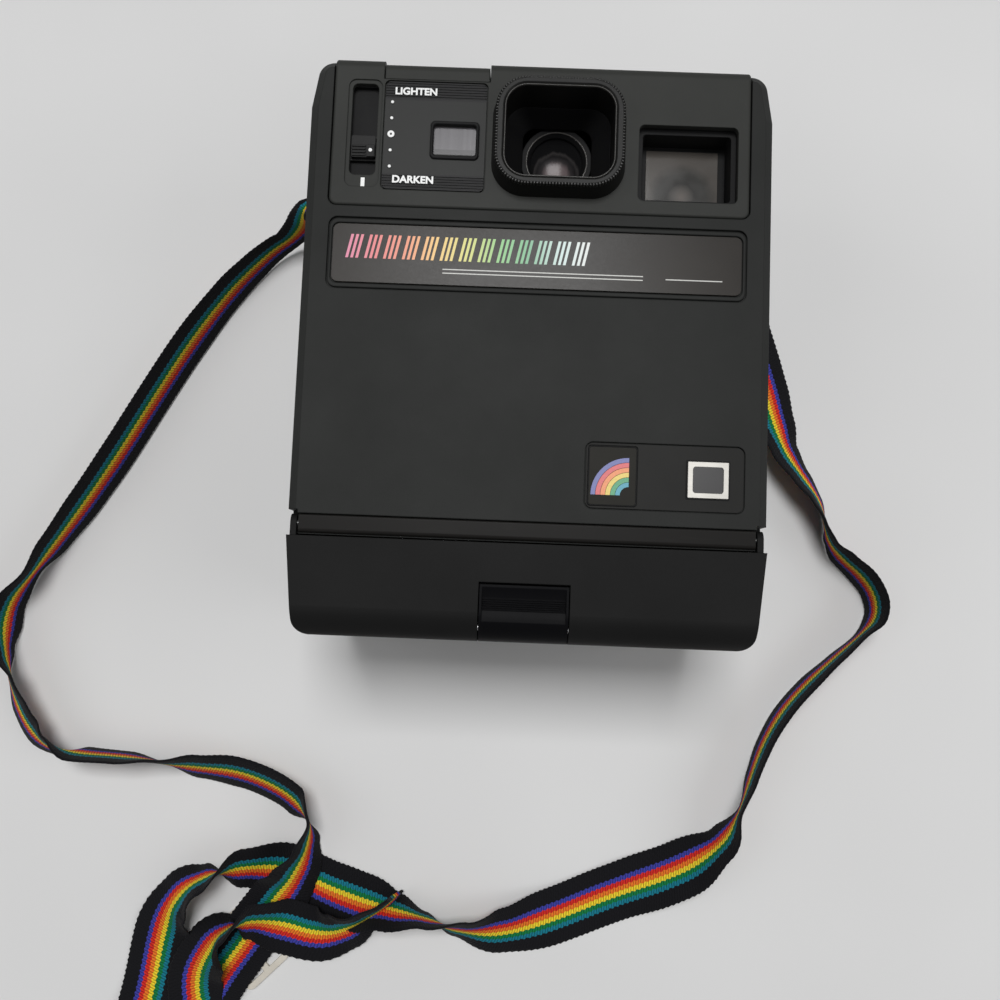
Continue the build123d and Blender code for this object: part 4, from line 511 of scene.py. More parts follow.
def finder_glass():
    """Viewfinder's front glass, greyed by painted soft reflections of the lenses behind it."""
    low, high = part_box("viewfinder_front_lens")
    centre = ((low.x + high.x) / 2, low.y * 0.8 + high.y * 0.2, (low.z + high.z) / 2)
    made = Material("finder_glass")
    cloud = made.noise(110.0, 4.0, 0.6)
    wavy = made.line(cloud, 3.0 * MM, made.distance(centre))
    # Painted reflection: light and dark rings round a point low on the glass
    painted_rings = made.ramp(
        made.share(wavy, 0.0, 16.0 * MM),
        [
            (0.0, srgb(24, 23, 23)),
            (0.14, srgb(100, 94, 90)),
            (0.26, srgb(78, 75, 72)),
            (0.38, srgb(34, 34, 33)),
            (0.60, srgb(46, 46, 44)),
            (0.80, srgb(76, 72, 68)),
        ],
    )
    made.link(made.mix(made.math("MULTIPLY", cloud, 0.4), painted_rings, srgb(64, 62, 60)), "Base Color")
    made.link(made.line(cloud, 0.2, 0.05), "Roughness")
    made.bump(cloud, 0.04, 0.02 * MM)
    made.set(Specular_IOR_Level=0.22)
    return made.data


def coated_glass():
    """Front lens: dark under its coating, with a painted soft pinkish reflection low on its dome
    and a painted light ring round it.
    """
    low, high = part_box("front_lens")
    centre = ((low.x + high.x) / 2, low.y * 0.72 + high.y * 0.28, high.z)
    made = Material("coated_glass")
    streaks = made.noise(420.0, 3.0, 0.6, (1.0, 0.15, 1.0))
    wavy = made.line(streaks, 2.2 * MM, made.distance(centre))
    # Painted reflection: a streaked pinkish patch with a faint light ring round it
    painted_reflection = made.ramp(
        made.share(wavy, 0.0, 12.0 * MM),
        [
            (0.0, srgb(108, 95, 95)),
            (0.36, srgb(96, 85, 86)),
            (0.50, srgb(40, 37, 38)),
            (0.62, srgb(26, 25, 26)),
            (0.70, srgb(48, 46, 46)),
            (0.76, srgb(18, 18, 19)),
        ],
    )
    made.link(painted_reflection, "Base Color")
    made.link(made.line(streaks, 0.08, 0.12), "Roughness")
    made.bump(streaks, 0.03, 0.01 * MM)
    made.set(Specular_IOR_Level=0.09)
    return made.data


def name_plate():
    """Glossy brown-black plate, its sheen uneven from handling."""
    made = Material("name_plate")
    cloud = made.noise(16.0, 4.0, 0.6, (0.6, 1.0, 1.0))
    fine = made.noise(1400.0, 2.0)
    made.link(made.ramp(cloud, [(0.3, srgb(27, 24, 21)), (0.7, srgb(42, 38, 34))]), "Base Color")
    made.link(made.line(fine, 0.08, made.line(cloud, 0.2, 0.16)), "Roughness")
    made.bump(fine, 0.06, 0.02 * MM, 0.2 * MM)
    made.set(Specular_IOR_Level=0.11)
    return made.data


def mirror_glass():
    """Front-silvered mirror with a faint haze."""
    made = Material("mirror_glass")
    haze = made.noise(140.0, 3.0)
    made.set(Metallic=1.0)
    silvering = [(0.3, srgb(214, 218, 222)), (0.8, srgb(235, 238, 240))]
    made.link(made.ramp(haze, silvering), "Base Color")
    made.link(made.line(haze, 0.05, 0.01), "Roughness")
    return made.data


def battery_jacket():
    """Printed metal jacket of the battery: a dark sleeve with a copper-coloured end."""
    low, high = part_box("battery")
    made = Material("battery_jacket")
    end = made.math("GREATER_THAN", made.along(1), low.y * 0.28 + high.y * 0.72)
    worn = made.noise(420.0, 4.0, 0.6)
    sleeve = made.ramp(worn, [(0.35, srgb(24, 24, 27)), (0.75, srgb(36, 36, 40))])
    copper = made.ramp(worn, [(0.35, srgb(150, 92, 48)), (0.75, srgb(184, 120, 66))])
    made.link(made.mix(end, sleeve, copper), "Base Color")
    made.link(made.line(worn, 0.15, 0.25), "Roughness")
    made.set(Metallic=0.6)
    made.bump(worn, 0.08, 0.02 * MM, 0.2 * MM)
    return made.data


def board_green():
    """Green circuit board with lighter tracks under its lacquer."""
    made = Material("board_green")
    inputs = {"Vector": made.place, "Scale": 260.0}
    cells = made.node("ShaderNodeTexVoronoi", inputs, distance="MANHATTAN").outputs["Distance"]
    lacquer, track = srgb(14, 62, 34), srgb(34, 104, 58)
    made.link(made.ramp(cells, [(0.45, lacquer), (0.5, track), (0.56, lacquer)]), "Base Color")
    made.link(made.line(made.noise(300.0), 0.2, 0.25), "Roughness")
    made.bump(cells, 0.15, 0.03 * MM)
    return made.data


def rubber(name, colour):
    """Soft matt rubber with a ground texture round it."""
    made = Material(name)
    ground = made.noise(1800.0, 4.0, 0.7, (0.2, 1.0, 1.0))
    tones = [(0.3, scaled(colour, 0.8)), (0.7, scaled(colour, 1.2))]
    made.link(made.ramp(ground, tones), "Base Color")
    made.link(made.line(ground, 0.15, 0.7), "Roughness")
    made.bump(ground, 0.4, 0.05 * MM)
    made.set(Specular_IOR_Level=0.3)
    return made.data


def graduated(name, low_x, high_x, colours):
    """Printing ink whose colour changes evenly from one end of the print to the other."""
    made = Material(name)
    share = made.share(made.along(0), low_x * MM, high_x * MM)
    last = len(colours) - 1
    tint = made.ramp(share, [(number / last, colour) for number, colour in enumerate(colours)])
    patchy = made.noise(2200.0, 2.0)
    faded = made.math("MULTIPLY", patchy, 0.25)
    made.link(made.mix(faded, tint, srgb(235, 235, 232)), "Base Color")
    made.link(made.line(patchy, 0.15, 0.35), "Roughness")
    made.bump(patchy, 0.1, 0.01 * MM)
    return made.data


def make_finishes():
    """Materials for the part's own nodes, by the name of each slot's material."""
    return {
        "case_black": moulded("case_black", srgb(34, 35, 34), 0.50, specular=0.10),
        # The panel's tone, lighter than the case's, is painted sheen from the light it mirrors high
        # on the body
        "panel_black": moulded("panel_black", srgb(43, 44, 42), 0.50, specular=0.14),
        "frame_black": moulded("frame_black", srgb(11, 11, 12), 0.55, 0.25, specular=0.14),
        "badge_black": moulded("badge_black", srgb(30, 30, 29), 0.48, 0.25, 0.2, 0.10),
        "tile_colours": moulded("tile_ground", srgb(31, 30, 26), 0.40, 0.08, 0.15, 0.07),
        "gloss_black": polished("gloss_black", srgb(24, 23, 22), 0.24),
        "scale_grey": scale_grey(),
        "cell_glass": photocell_glass(),
        "steel": metal("turned_steel", srgb(176, 176, 178), 0.32),
        "spring_steel": metal("spring_steel", srgb(148, 148, 152), 0.28, (1.0, 0.05, 1.0)),
        "silver": metal("satin_silver", srgb(176, 174, 169), 0.60, (0.04, 1.0, 1.0), 0.25),
        "brass": metal("brass", srgb(196, 158, 84), 0.30),
        "glass": clear("lens_glass", (0.93, 0.94, 0.96, 1.0), 1.45),
        "mirror": mirror_glass(),
        "film_plastic": moulded("film_plastic", srgb(30, 31, 33), 0.45, grain=0.2),
        "battery_wrap": battery_jacket(),
        "board_green": board_green(),
        "component_dark": moulded("component_dark", srgb(44, 42, 60), 0.35, grain=0.1),
        "roller_rubber": rubber("roller_rubber", srgb(42, 41, 40)),
        "gear_plastic": moulded("gear_plastic", srgb(214, 208, 190), 0.38, grain=0.15, edge=0.15),
        "strap_web": rubber("strap_core", srgb(20, 20, 22)),
    }


def own_finishes():
    """Materials of nodes that look different from the rest of their slot."""
    return {
        # The cover's tone, darker than the case's, is painted shade from the light it mirrors less,
        # low on the body
        "lower_cover": moulded("cover_black_painted_shade", srgb(20, 20, 20), 0.50, specular=0.07),
        "door_latch": moulded("latch_black", srgb(8, 8, 10), 0.40, 0.15, 0.4, 0.04),
        "lens_hood": moulded("hood_black", srgb(12, 12, 11), 0.40, 0.12, 0.3, 0.17),
        "viewfinder_front_lens": finder_glass(),
        "front_lens": coated_glass(),
        "exposure_slider": moulded("knob_black", srgb(18, 18, 18), 0.45, 0.2, 0.25, 0.15),
        "slide_buckle": metal(
            "buckle_nickel", srgb(206, 200, 188), 0.42, (1.0, 0.1, 1.0), 0.3, 0.45
        ),
        "hinge_pins": metal("hinge_steel", srgb(176, 178, 178), 0.3),
        "nameplate": name_plate(),
        "trim_band": polished("band_gloss", srgb(27, 26, 25), 0.36, specular=0.05),
        "shutter_blade_left": metal("blackened_blade_left", srgb(28, 28, 30), 0.4),
        "shutter_blade_right": metal("blackened_blade_right", srgb(30, 30, 32), 0.4),
    }


def dress_nodes():
    """Puts a finish on every slot of every node of the part."""
    finishes = make_finishes()
    own = own_finishes()
    for name, node in nodes.items():
        for slot in node.material_slots:
            slot.material = own.get(name) or finishes[slot.material.name.split(".")[0]]
    return finishes


# ---- details on the front
def middle(name):
    """Centre of a node's box in millimetres."""
    low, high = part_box(name)
    return [(low[axis] + high[axis]) / 2 / MM for axis in range(3)]


def size_of(name):
    """Size of a node's box in millimetres."""
    low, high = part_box(name)
    return [(high[axis] - low[axis]) / MM for axis in range(3)]


def top_of(name):
    """Height of a node's top in millimetres."""
    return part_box(name)[1].z / MM


def levels_on(surface, levels):
    """Heights of a piece's bottom and top, from their levels on a surface."""
    return [surface + level for level in levels]


def loops_about(name, margins):
    """Outlines round a node's box, one for each margin."""
    width, height, _ = size_of(name)
    return [
        rounded_loop(width + wide, height + high, radius, middle(name))
        for wide, high, radius in margins
    ]


def lettering(name, text, low, high, levels, material):
    """Raised bold word on the body that fills the rectangle from low to high."""
    curve = bpy.data.curves.new(name, "FONT")
    curve.body = text
    curve.offset = LETTER_WEIGHT
    curve.extrude = 0.5  # parts the letters' backs from their fronts, by the sign of z
    holder = bpy.data.objects.new(name + "_outline", curve)
    bpy.context.scene.collection.objects.link(holder)
    bpy.context.view_layer.update()
    mesh = bpy.data.meshes.new_from_object(holder)
    points = [vertex.co for vertex in mesh.vertices]
    left, right = min(p.x for p in points), max(p.x for p in points)
    foot, head = min(p.y for p in points), max(p.y for p in points)
    vertices = []
    for point in points:
        across = (point.x - left) / (right - left)
        up = (point.y - foot) / (head - foot)
        x = low[0] + (high[0] - low[0]) * across
        y = low[1] + (high[1] - low[1]) * up
        vertices.append(mm(x, y, levels[0] if point.z < 0 else levels[1]))
    faces = [tuple(polygon.vertices) for polygon in mesh.polygons]
    bpy.data.objects.remove(holder)
    on_body(add_mesh(name, vertices, faces, material))


def exposure_scale(frame_black):
    """Words, dots and photocell frame of the exposure scale, and the slider's marks."""
    white = printed("white_ink", srgb(232, 233, 232))
    plate_low, plate_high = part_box("scale_plate")
    left, foot, head = plate_low.x / MM, plate_low.y / MM, plate_high.y / MM
    top = top_of("scale_plate")
    for name, text, inset, low_y, width in (
        ("word_lighter", "LIGHTEN", 3.1, head - 4.5, 13.1),
        ("word_darker", "DARKEN", 3.4, foot + 1.8, 12.8),
    ):
        low = (left + inset, low_y)
        high = (left + inset + width, low_y + WORD_HEIGHT)
        lettering(name, text, low, high, levels_on(top, WORD_LEVELS), white)
    dot_x = left + DOT_INSET
    ring_y = middle("scale_plate")[1] + RING_SHIFT
    levels = levels_on(top, DOT_LEVELS)
    dots = [
        disc((dot_x, ring_y + step * DOT_PITCH), DOT_RADIUS, levels) for step in (-2, -1, 1, 2)
    ]
    joined("scale_dots", dots, white)
    loops = [circle((dot_x, ring_y), radius, 32) for radius in RING_RADII]
    frame_ring("scale_ring", loops, levels, RING_EDGE, white)
    cell_x, cell_y, _ = middle("photocell_window")
    loops = [rounded_loop(*loop, (cell_x, cell_y - BEZEL_DROP)) for loop in BEZEL_LOOPS]
    levels = levels_on(top, BEZEL_LEVELS)
    frame_ring("photocell_frame", loops, levels, BEZEL_EDGE, frame_black)
    knob_x, knob_y, _ = middle("exposure_slider")
    place = (knob_x + KNOB_DOT[0], knob_y + KNOB_DOT[1])
    dot = disc(place, KNOB_DOT_RADIUS, levels_on(top_of("exposure_slider"), KNOB_DOT_LEVELS))
    joined("slider_dot", [dot], white, "exposure_slider")
    place = (knob_x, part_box("slider_track")[0].y / MM - MARK_DROP, top_of("front_cover"))
    low, high = [
        [start + way for start, way in zip(place, corner)] for corner in (MARK_LOW, MARK_HIGH)
    ]
    joined("slider_mark", [block(low, high)], white)


def evenly_spaced(outline, pitch):
    """Points and directions at an even pitch round a closed outline."""
    corners = [Vector(point) for point in outline]
    corners.append(corners[0])
    total = sum((after - before).length for before, after in zip(corners, corners[1:]))
    count = round(total / pitch)
    step = total / count
    placed = []
    wanted = 0.0
    passed = 0.0
    for before, after in zip(corners, corners[1:]):
        span = (after - before).length
        while span and wanted <= passed + span and len(placed) < count:
            placed.append((before.lerp(after, (wanted - passed) / span), (after - before) / span))
            wanted += step
        passed += span
    return placed


def hood_details():
    """Knurled edge and inner lip of the lens hood, and the ring round the lens. The lip and the
    ring are light-coloured as painted highlights.
    """
    centre = middle("lens_hood")
    top = top_of("lens_hood")
    teeth = []
    for point, along in evenly_spaced(rounded_loop(*KNURL_LOOP, centre, 12), KNURL_PITCH):
        across = Vector((along.y, -along.x))
        loops = []
        for level, half in KNURL_HALVES:
            corners = [
                point + along * half * ahead + across * half * KNURL_DEPTH * aside
                for ahead, aside in ((1, -1), (1, 1), (-1, 1), (-1, -1))
            ]
            loops.append([(corner.x, corner.y, top + level) for corner in corners])
        teeth.append(stack_loops(loops))
    gloss = polished("knurl_gloss", srgb(34, 34, 33), 0.3, specular=0.2)
    joined("hood_knurl", teeth, gloss)
    # Painted highlight: a light ring at the hood's mouth, on the edge of its inner tube
    loops = [rounded_loop(*loop, centre, 12) for loop in LIP_LOOPS]
    gloss = polished("lip_painted_highlight", srgb(58, 57, 55), 0.3)
    frame_ring("hood_lip_highlight", loops, levels_on(top, LIP_LEVELS), LIP_EDGE, gloss)
    # Painted highlight: a light grey ring on the lens retainer's edge
    loops = [circle(middle("front_lens"), radius, 64) for radius in LENS_RING_RADII]
    levels = levels_on(top_of("lens_retainer"), LENS_RING_LEVELS)
    gloss = polished("ring_painted_highlight", srgb(70, 68, 66), 0.18)
    frame_ring("lens_highlight_ring", loops, levels, LENS_RING_EDGE, gloss)


def plate_details(case_black):
    """Border of the name plate and the generic striped print on it."""
    x, y, _ = middle("nameplate")
    top = top_of("nameplate")
    loops = loops_about("nameplate", BORDER_MARGINS)
    levels = levels_on(top, BORDER_LEVELS)
    frame_ring("nameplate_border", loops, levels, BORDER_EDGE, case_black)
    left, foot, head = x + BARS_LEFT, y + BARS_FOOT, y + BARS_HEAD
    bottom, top = levels_on(top, (-INK_SINK, INK_RISE))
    bars = []
    for number in range(BAR_GROUPS * BARS_PER_GROUP):
        group, place = divmod(number, BARS_PER_GROUP)
        low = left + group * BAR_GROUP_PITCH + place * BAR_PITCH
        high = low + BAR_WIDTH
        outline = [(low, foot), (high, foot), (high + BAR_LEAN, head), (low + BAR_LEAN, head)]
        bars.append(extruded(outline, (bottom, top)))
    colours = [
        srgb(205, 84, 132),
        srgb(214, 70, 74),
        srgb(222, 112, 52),
        srgb(226, 178, 62),
        srgb(196, 196, 66),
        srgb(96, 176, 78),
        srgb(52, 152, 96),
        srgb(186, 210, 206),
        srgb(214, 216, 214),
    ]
    ink = graduated("graduated_ink", left, left + BAR_GROUPS * BAR_GROUP_PITCH, colours)
    joined("nameplate_bars", bars, ink)
    lines = [
        block((x + low, y + rise - LINE_HALF, bottom), (x + high, y + rise + LINE_HALF, top))
        for low, high, rise in LINES
    ]
    joined("nameplate_lines", lines, printed("pale_ink", srgb(190, 190, 186)))


def badge_details(frame_black):
    """Outlined colour tile with its rainbow print, the dark inset of the silver badge, and a black
    ring round the badge that is painted shadow.
    """
    x, y, _ = middle("colour_tile")
    width, height, _ = size_of("colour_tile")
    panel_top = top_of("badge_panel")
    bottom, top = levels_on(top_of("colour_tile"), (-INK_SINK, INK_RISE))
    loops = loops_about("colour_tile", TILE_MARGINS)
    levels = (bottom, panel_top + TILE_RISE)
    frame_ring("tile_outline", loops, levels, TILE_EDGE, frame_black)
    foot_x, foot_y = x + width / 2 - ARCS_INSET, y - height / 2 + ARCS_RISE
    turns = [radians(90 + 90 * step / ARC_STEPS) for step in range(ARC_STEPS + 1)]
    for number, (name, colour) in enumerate(RAINBOW):
        start = ARC_START + number * ARC_PITCH
        edge = [
            (foot_x + radius * cos(turn), foot_y + radius * sin(turn))
            for radius, side in ((start + ARC_PITCH - ARC_GAP, turns), (start, reversed(turns)))
            for turn in side
        ]
        ink = printed("ink_" + name, colour)
        joined("tile_arc_" + name, [extruded(edge, (bottom, top))], ink)
    edge, = loops_about("metal_badge", [INSET_MARGIN])
    levels = levels_on(top_of("metal_badge"), INSET_LEVELS)
    gloss = polished("inset_gloss", srgb(36, 35, 36), 0.3)
    plate_with_edge("badge_inset", edge, levels, INSET_EDGE, middle("metal_badge"), gloss)
    # Painted shadow: a black ring round the silver badge
    loops = loops_about("metal_badge", SHADOW_RING_MARGINS)
    levels = levels_on(panel_top, SHADOW_RING_LEVELS)
    frame_ring("badge_painted_shadow", loops, levels, SHADOW_RING_EDGE, frame_black)


# ---- springs
def pressed_spring(name, node, body):
    """Copy of a spring shown on a body, in place of the part's hidden spring node."""
    spring = bpy.data.objects.new(name, nodes[node].data.copy())
    bpy.context.scene.collection.objects.link(spring)
    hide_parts(node)
    on_body(spring, body)
    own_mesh(spring)


# ---- neck strap
STRAP_WIDTH = 22.0
STRAP_THICKNESS = 1.3
RING_SPACING = 0.7
FLOOR_GAP = 0.1

# Woven edge, and the yarn: its pitches along the strap and how far it leans across
SCALLOP_PITCH = 2.1
SCALLOP_DEPTH = 0.22
PICK_PITCH = 1.05
PICK_LEAN = 3.2
RIB_PITCH = 0.7
STITCH_SHARE = 0.010

# Coloured bands, as shares of the width: where they start and how wide one is
BANDS_START = 0.265
BAND_SHARE = 0.078

# At the lug the strap is gathered: shares that are left of the middle and of the two borders
MIDDLE_SHARE = 0.5
GATHERED_MIDDLE = 0.5
GATHERED_BORDER = 0.1
GATHERED_LENGTH = 70.0

# How many points of the line a route's next point may lie ahead, and what each adds to its
# distance, in metres, so that the first of equally near points is taken
LOOK_AHEAD = 60
TIE_BREAK = 1e-7

# Each point: x, y, height of what the strap lies on, roll about its own line in degrees
left_route = [
    (-78.4, 63.8, 51.6, 0),
    (-82.5, 64.2, 47.5, 2),
    (-86.0, 66.0, 37.0, 6),
    (-88.0, 66.0, 23.0, 56),
    (-91.5, 66.0, 9.0, 82),
    (-97.5, 63.5, 1.0, 86),
    (-104.5, 59.0, 0.0, 84),
    (-112.5, 51.0, 0.0, 82),
    (-122.5, 39.5, 0.0, 78),
    (-136.3, 19.0, 0.0, 74),
    (-149.7, -5.0, 0.0, 74),
    (-161.3, -26.5, 0.0, 74),
    (-172.8, -46.0, 0.0, 76),
    (-183.8, -63.0, 0.0, 83),
    (-192.0, -75.0, 0.0, 97),
    (-199.5, -86.0, 0.0, 84),
    (-201.5, -96.5, 0.0, 80),
    (-200.5, -107.0, 0.0, 98),
    (-197.5, -117.5, 0.0, 118),
    (-193.5, -128.5, 0.0, 128),
    (-188.0, -137.0, 0.0, 130),
    (-180.0, -142.8, 0.0, 117),
    (-168.0, -144.6, 0.0, 86),
    (-152.0, -145.0, 0.0, 88),
    (-137.0, -146.3, 0.0, 102),
    (-122.0, -147.7, 0.0, 123),
    (-107.0, -148.8, 0.0, 132),
    (-94.0, -153.0, 0.0, 133),
    (-84.0, -158.5, 0.0, 132),
    (-77.5, -165.5, 0.0, 104),
    (-77.5, -175.0, 1.0, 74),
    (-82.0, -187.0, 1.7, 42),
    (-89.5, -198.0, 1.8, 10),
    (-96.5, -207.5, 1.6, 8),
    (-102.0, -216.0, 1.6, 4),
    (-108.0, -224.5, 1.7, 0),
    (-113.0, -233.0, 1.2, 0),
    (-118.0, -243.0, 0.1, 0),
]
right_route = [
    (78.4, 63.8, 51.6, 0),
    (82.5, 64.0, 47.0, 0),
    (84.5, 63.0, 38.0, 2),
    (84.5, 59.0, 22.0, 6),
    (85.0, 50.5, 9.0, 10),
    (87.5, 38.0, 1.0, 13),
    (92.3, 24.0, 0.0, 14),
    (96.5, 11.0, 0.0, 18),
    (100.2, -3.0, 0.0, 28),
    (103.5, -15.0, 0.0, 46),
    (110.0, -25.0, 0.0, 56),
    (116.5, -34.0, 0.0, 64),
    (119.5, -43.5, 0.0, 74),
    (121.0, -51.0, 0.0, 84),
    (126.5, -57.5, 0.0, 97),
    (134.0, -63.5, 0.0, 100),
    (139.5, -71.5, 0.0, 97),
    (140.0, -80.5, 0.0, 93),
    (133.0, -88.0, 0.0, 84),
    (123.5, -96.5, 0.0, 88),
    (113.0, -106.5, 0.0, 92),
    (103.5, -117.5, 0.0, 92),
    (96.5, -130.0, 0.0, 90),
    (92.0, -143.0, 0.0, 87),
    (88.5, -155.5, 0.0, 78),
    (82.0, -169.0, 0.0, 108),
    (65.5, -181.0, 0.0, 152),
    (41.0, -191.0, 0.0, 180),
    (18.0, -201.0, 0.0, 184),
    (-2.0, -206.5, 0.0, 206),
    (-18.0, -205.0, 0.0, 238),
    (-32.0, -201.0, 0.0, 268),
    (-45.0, -199.0, 0.0, 294),
    (-58.0, -197.5, 0.0, 336),
    (-72.0, -194.0, 0.0, 360),
    (-87.0, -187.0, 0.0, 364),
    (-103.0, -185.5, 0.0, 396),
    (-118.0, -189.0, 0.0, 468),
    (-129.0, -198.0, 0.0, 502),
    (-135.0, -213.0, 0.0, 540),
    (-137.0, -230.0, 0.0, 540),
    (-140.0, -247.0, 0.0, 544),
    (-146.0, -262.0, 0.0, 566),
    (-140.0, -276.0, 0.0, 610),
    (-126.0, -281.0, 0.0, 655),
    (-113.0, -274.0, 0.0, 690),
    (-110.0, -260.0, 0.0, 714),
    (-117.0, -245.0, 0.6, 720),
    (-121.0, -230.0, 1.4, 722),
    (-115.0, -217.0, 2.4, 744),
    (-107.0, -207.0, 3.2, 800),
    (-98.0, -204.0, 3.6, 862),
    (-86.0, -207.5, 3.4, 896),
    (-74.0, -211.0, 1.8, 892),
    (-63.0, -208.0, 1.6, 868),
    (-54.0, -201.5, 1.6, 838),
    (-46.0, -195.5, 1.6, 826),
    (-43.0, -192.0, 1.6, 822),
]


def strap_height(rest, roll):
    """Height of the middle of the strap when one of its edges lies at the height it rests on."""
    return rest + STRAP_WIDTH / 2 * abs(sin(radians(roll))) + STRAP_THICKNESS / 2


def smooth_line(name, points):
    """Points of a NURBS spline through the route, in metres."""
    curve = bpy.data.curves.new(name, "CURVE")
    curve.dimensions = "3D"
    curve.resolution_u = 16
    spline = curve.splines.new("NURBS")
    spline.points.add(len(points) - 1)
    for target, point in zip(spline.points, points):
        target.co = (*mm(*point), 1.0)
    spline.order_u = 3
    spline.use_endpoint_u = True
    holder = bpy.data.objects.new(name, curve)
    bpy.context.scene.collection.objects.link(holder)
    bpy.context.view_layer.update()
    mesh = bpy.data.meshes.new_from_object(holder)
    line = [vertex.co.copy() for vertex in mesh.vertices]
    bpy.data.objects.remove(holder)
    return line


def eased(value):
    """Smooth step from 0 to 1."""
    return value * value * (3 - 2 * value)


def nearest_point(line, start, x, y):
    """Index of the line's point nearest to a place, and not far past the start."""

    def apart(index):
        return hypot(line[index].x - x * MM, line[index].y - y * MM) + index * TIE_BREAK

    return min(min(range(start, len(line)), key=apart), start + LOOK_AHEAD)


def roll_along(line, route):
    """Roll at each point of the line, eased between the route's own points."""
    stations = []
    start = 0
    for x, y, _, roll in route:
        nearest = nearest_point(line, start, x, y)
        stations.append((nearest, roll))
        start = min(nearest + 1, len(line) - 1)
    stations[-1] = (len(line) - 1, route[-1][3])
    rolls = []
    section = 0
    for index in range(len(line)):
        while section < len(stations) - 2 and index > stations[section + 1][0]:
            section += 1
        (low, roll_low), (high, roll_high) = stations[section], stations[section + 1]
        share = (index - low) / max(1, high - low)
        rolls.append(roll_low + (roll_high - roll_low) * eased(min(1.0, max(0.0, share))))
    return rolls


def even_steps(line, rolls, spacing):
    """Positions, rolls and lengths at even steps along the line."""
    lengths = [0.0]
    for before, after in zip(line, line[1:]):
        lengths.append(lengths[-1] + (after - before).length)
    count = ceil(lengths[-1] / spacing)
    stations = []
    index = 0
    for step in range(count + 1):
        target = lengths[-1] * step / count
        while index < len(line) - 2 and lengths[index + 1] < target:
            index += 1
        span = lengths[index + 1] - lengths[index]
        share = (target - lengths[index]) / span if span else 0.0
        place = line[index].lerp(line[index + 1], share)
        roll = rolls[index] + (rolls[index + 1] - rolls[index]) * share
        stations.append((place, roll, target))
    return stations


def strap_section():
    """Outline of the webbing's section: share across its width and share of its thickness."""
    upper = []
    for share in (-1.0, -0.96, -0.86, -0.5, -0.25, 0.0, 0.25, 0.5, 0.86, 0.96, 1.0):
        upper.append((share, sqrt(max(0.0, 1 - abs(share) ** 8))))
    lower = [(share, -height) for share, height in reversed(upper[1:-1])]
    return upper + lower


def strap_ring(stations, index, section):
    """Points round the strap at one of its stations."""
    centre, roll, length = stations[index]
    ahead = stations[min(len(stations) - 1, index + 2)][0]
    along = (ahead - stations[max(0, index - 2)][0]).normalized()
    right = along.cross(Vector((0, 0, 1))).normalized()
    side = right * cos(radians(roll)) + right.cross(along) * sin(radians(roll))
    face = side.cross(along)
    scallop = SCALLOP_DEPTH * sin(2 * pi * length / (SCALLOP_PITCH * MM))
    opened = eased(min(1.0, length / MM / GATHERED_LENGTH))
    middle_kept = GATHERED_MIDDLE + (1 - GATHERED_MIDDLE) * opened
    border_kept = GATHERED_BORDER + (1 - GATHERED_BORDER) * opened
    points = []
    for share, height in section:
        bands = min(abs(share), MIDDLE_SHARE) * middle_kept
        border = max(0.0, abs(share) - MIDDLE_SHARE) * border_kept
        reach = (bands + border) * (STRAP_WIDTH / 2 + scallop * abs(share) ** 6)
        if share <= 0:
            reach = -reach
        point = centre + side * reach * MM + face * height * STRAP_THICKNESS / 2 * MM
        point.z = max(point.z, FLOOR_GAP * MM)
        points.append(point)
    return points


def webbing(name, route, material):
    """Flat woven strap that follows the route, rolled about its line and lying on what is below.

    Returns the strap, the points of its line and its length, in metres.
    """
    points = [(x, y, strap_height(rest, roll)) for x, y, rest, roll in route]
    line = smooth_line(name + "_line", points)
    stations = even_steps(line, roll_along(line, route), RING_SPACING * MM)
    section = strap_section()
    count = len(section)
    vertices = []
    weave = []
    faces = []
    for index, station in enumerate(stations):
        vertices += strap_ring(stations, index, section)
        weave += [((1 - share) / 2, station[2] / MM) for share, _ in section]
        if index:
            ring = band_faces((index - 1) * count, index * count, count)
            faces += [(first, fourth, third, second) for first, second, third, fourth in ring]
    faces.append(tuple(reversed(range(count))))
    faces.append(tuple(range((len(stations) - 1) * count, len(stations) * count)))
    strap = add_mesh(name, vertices, faces, material, smooth=True)
    layer = strap.data.uv_layers.new(name="weave")
    for loop in strap.data.loops:
        layer.data[loop.index].uv = weave[loop.vertex_index]
    return strap, [station[0] for station in stations], stations[-1][2]


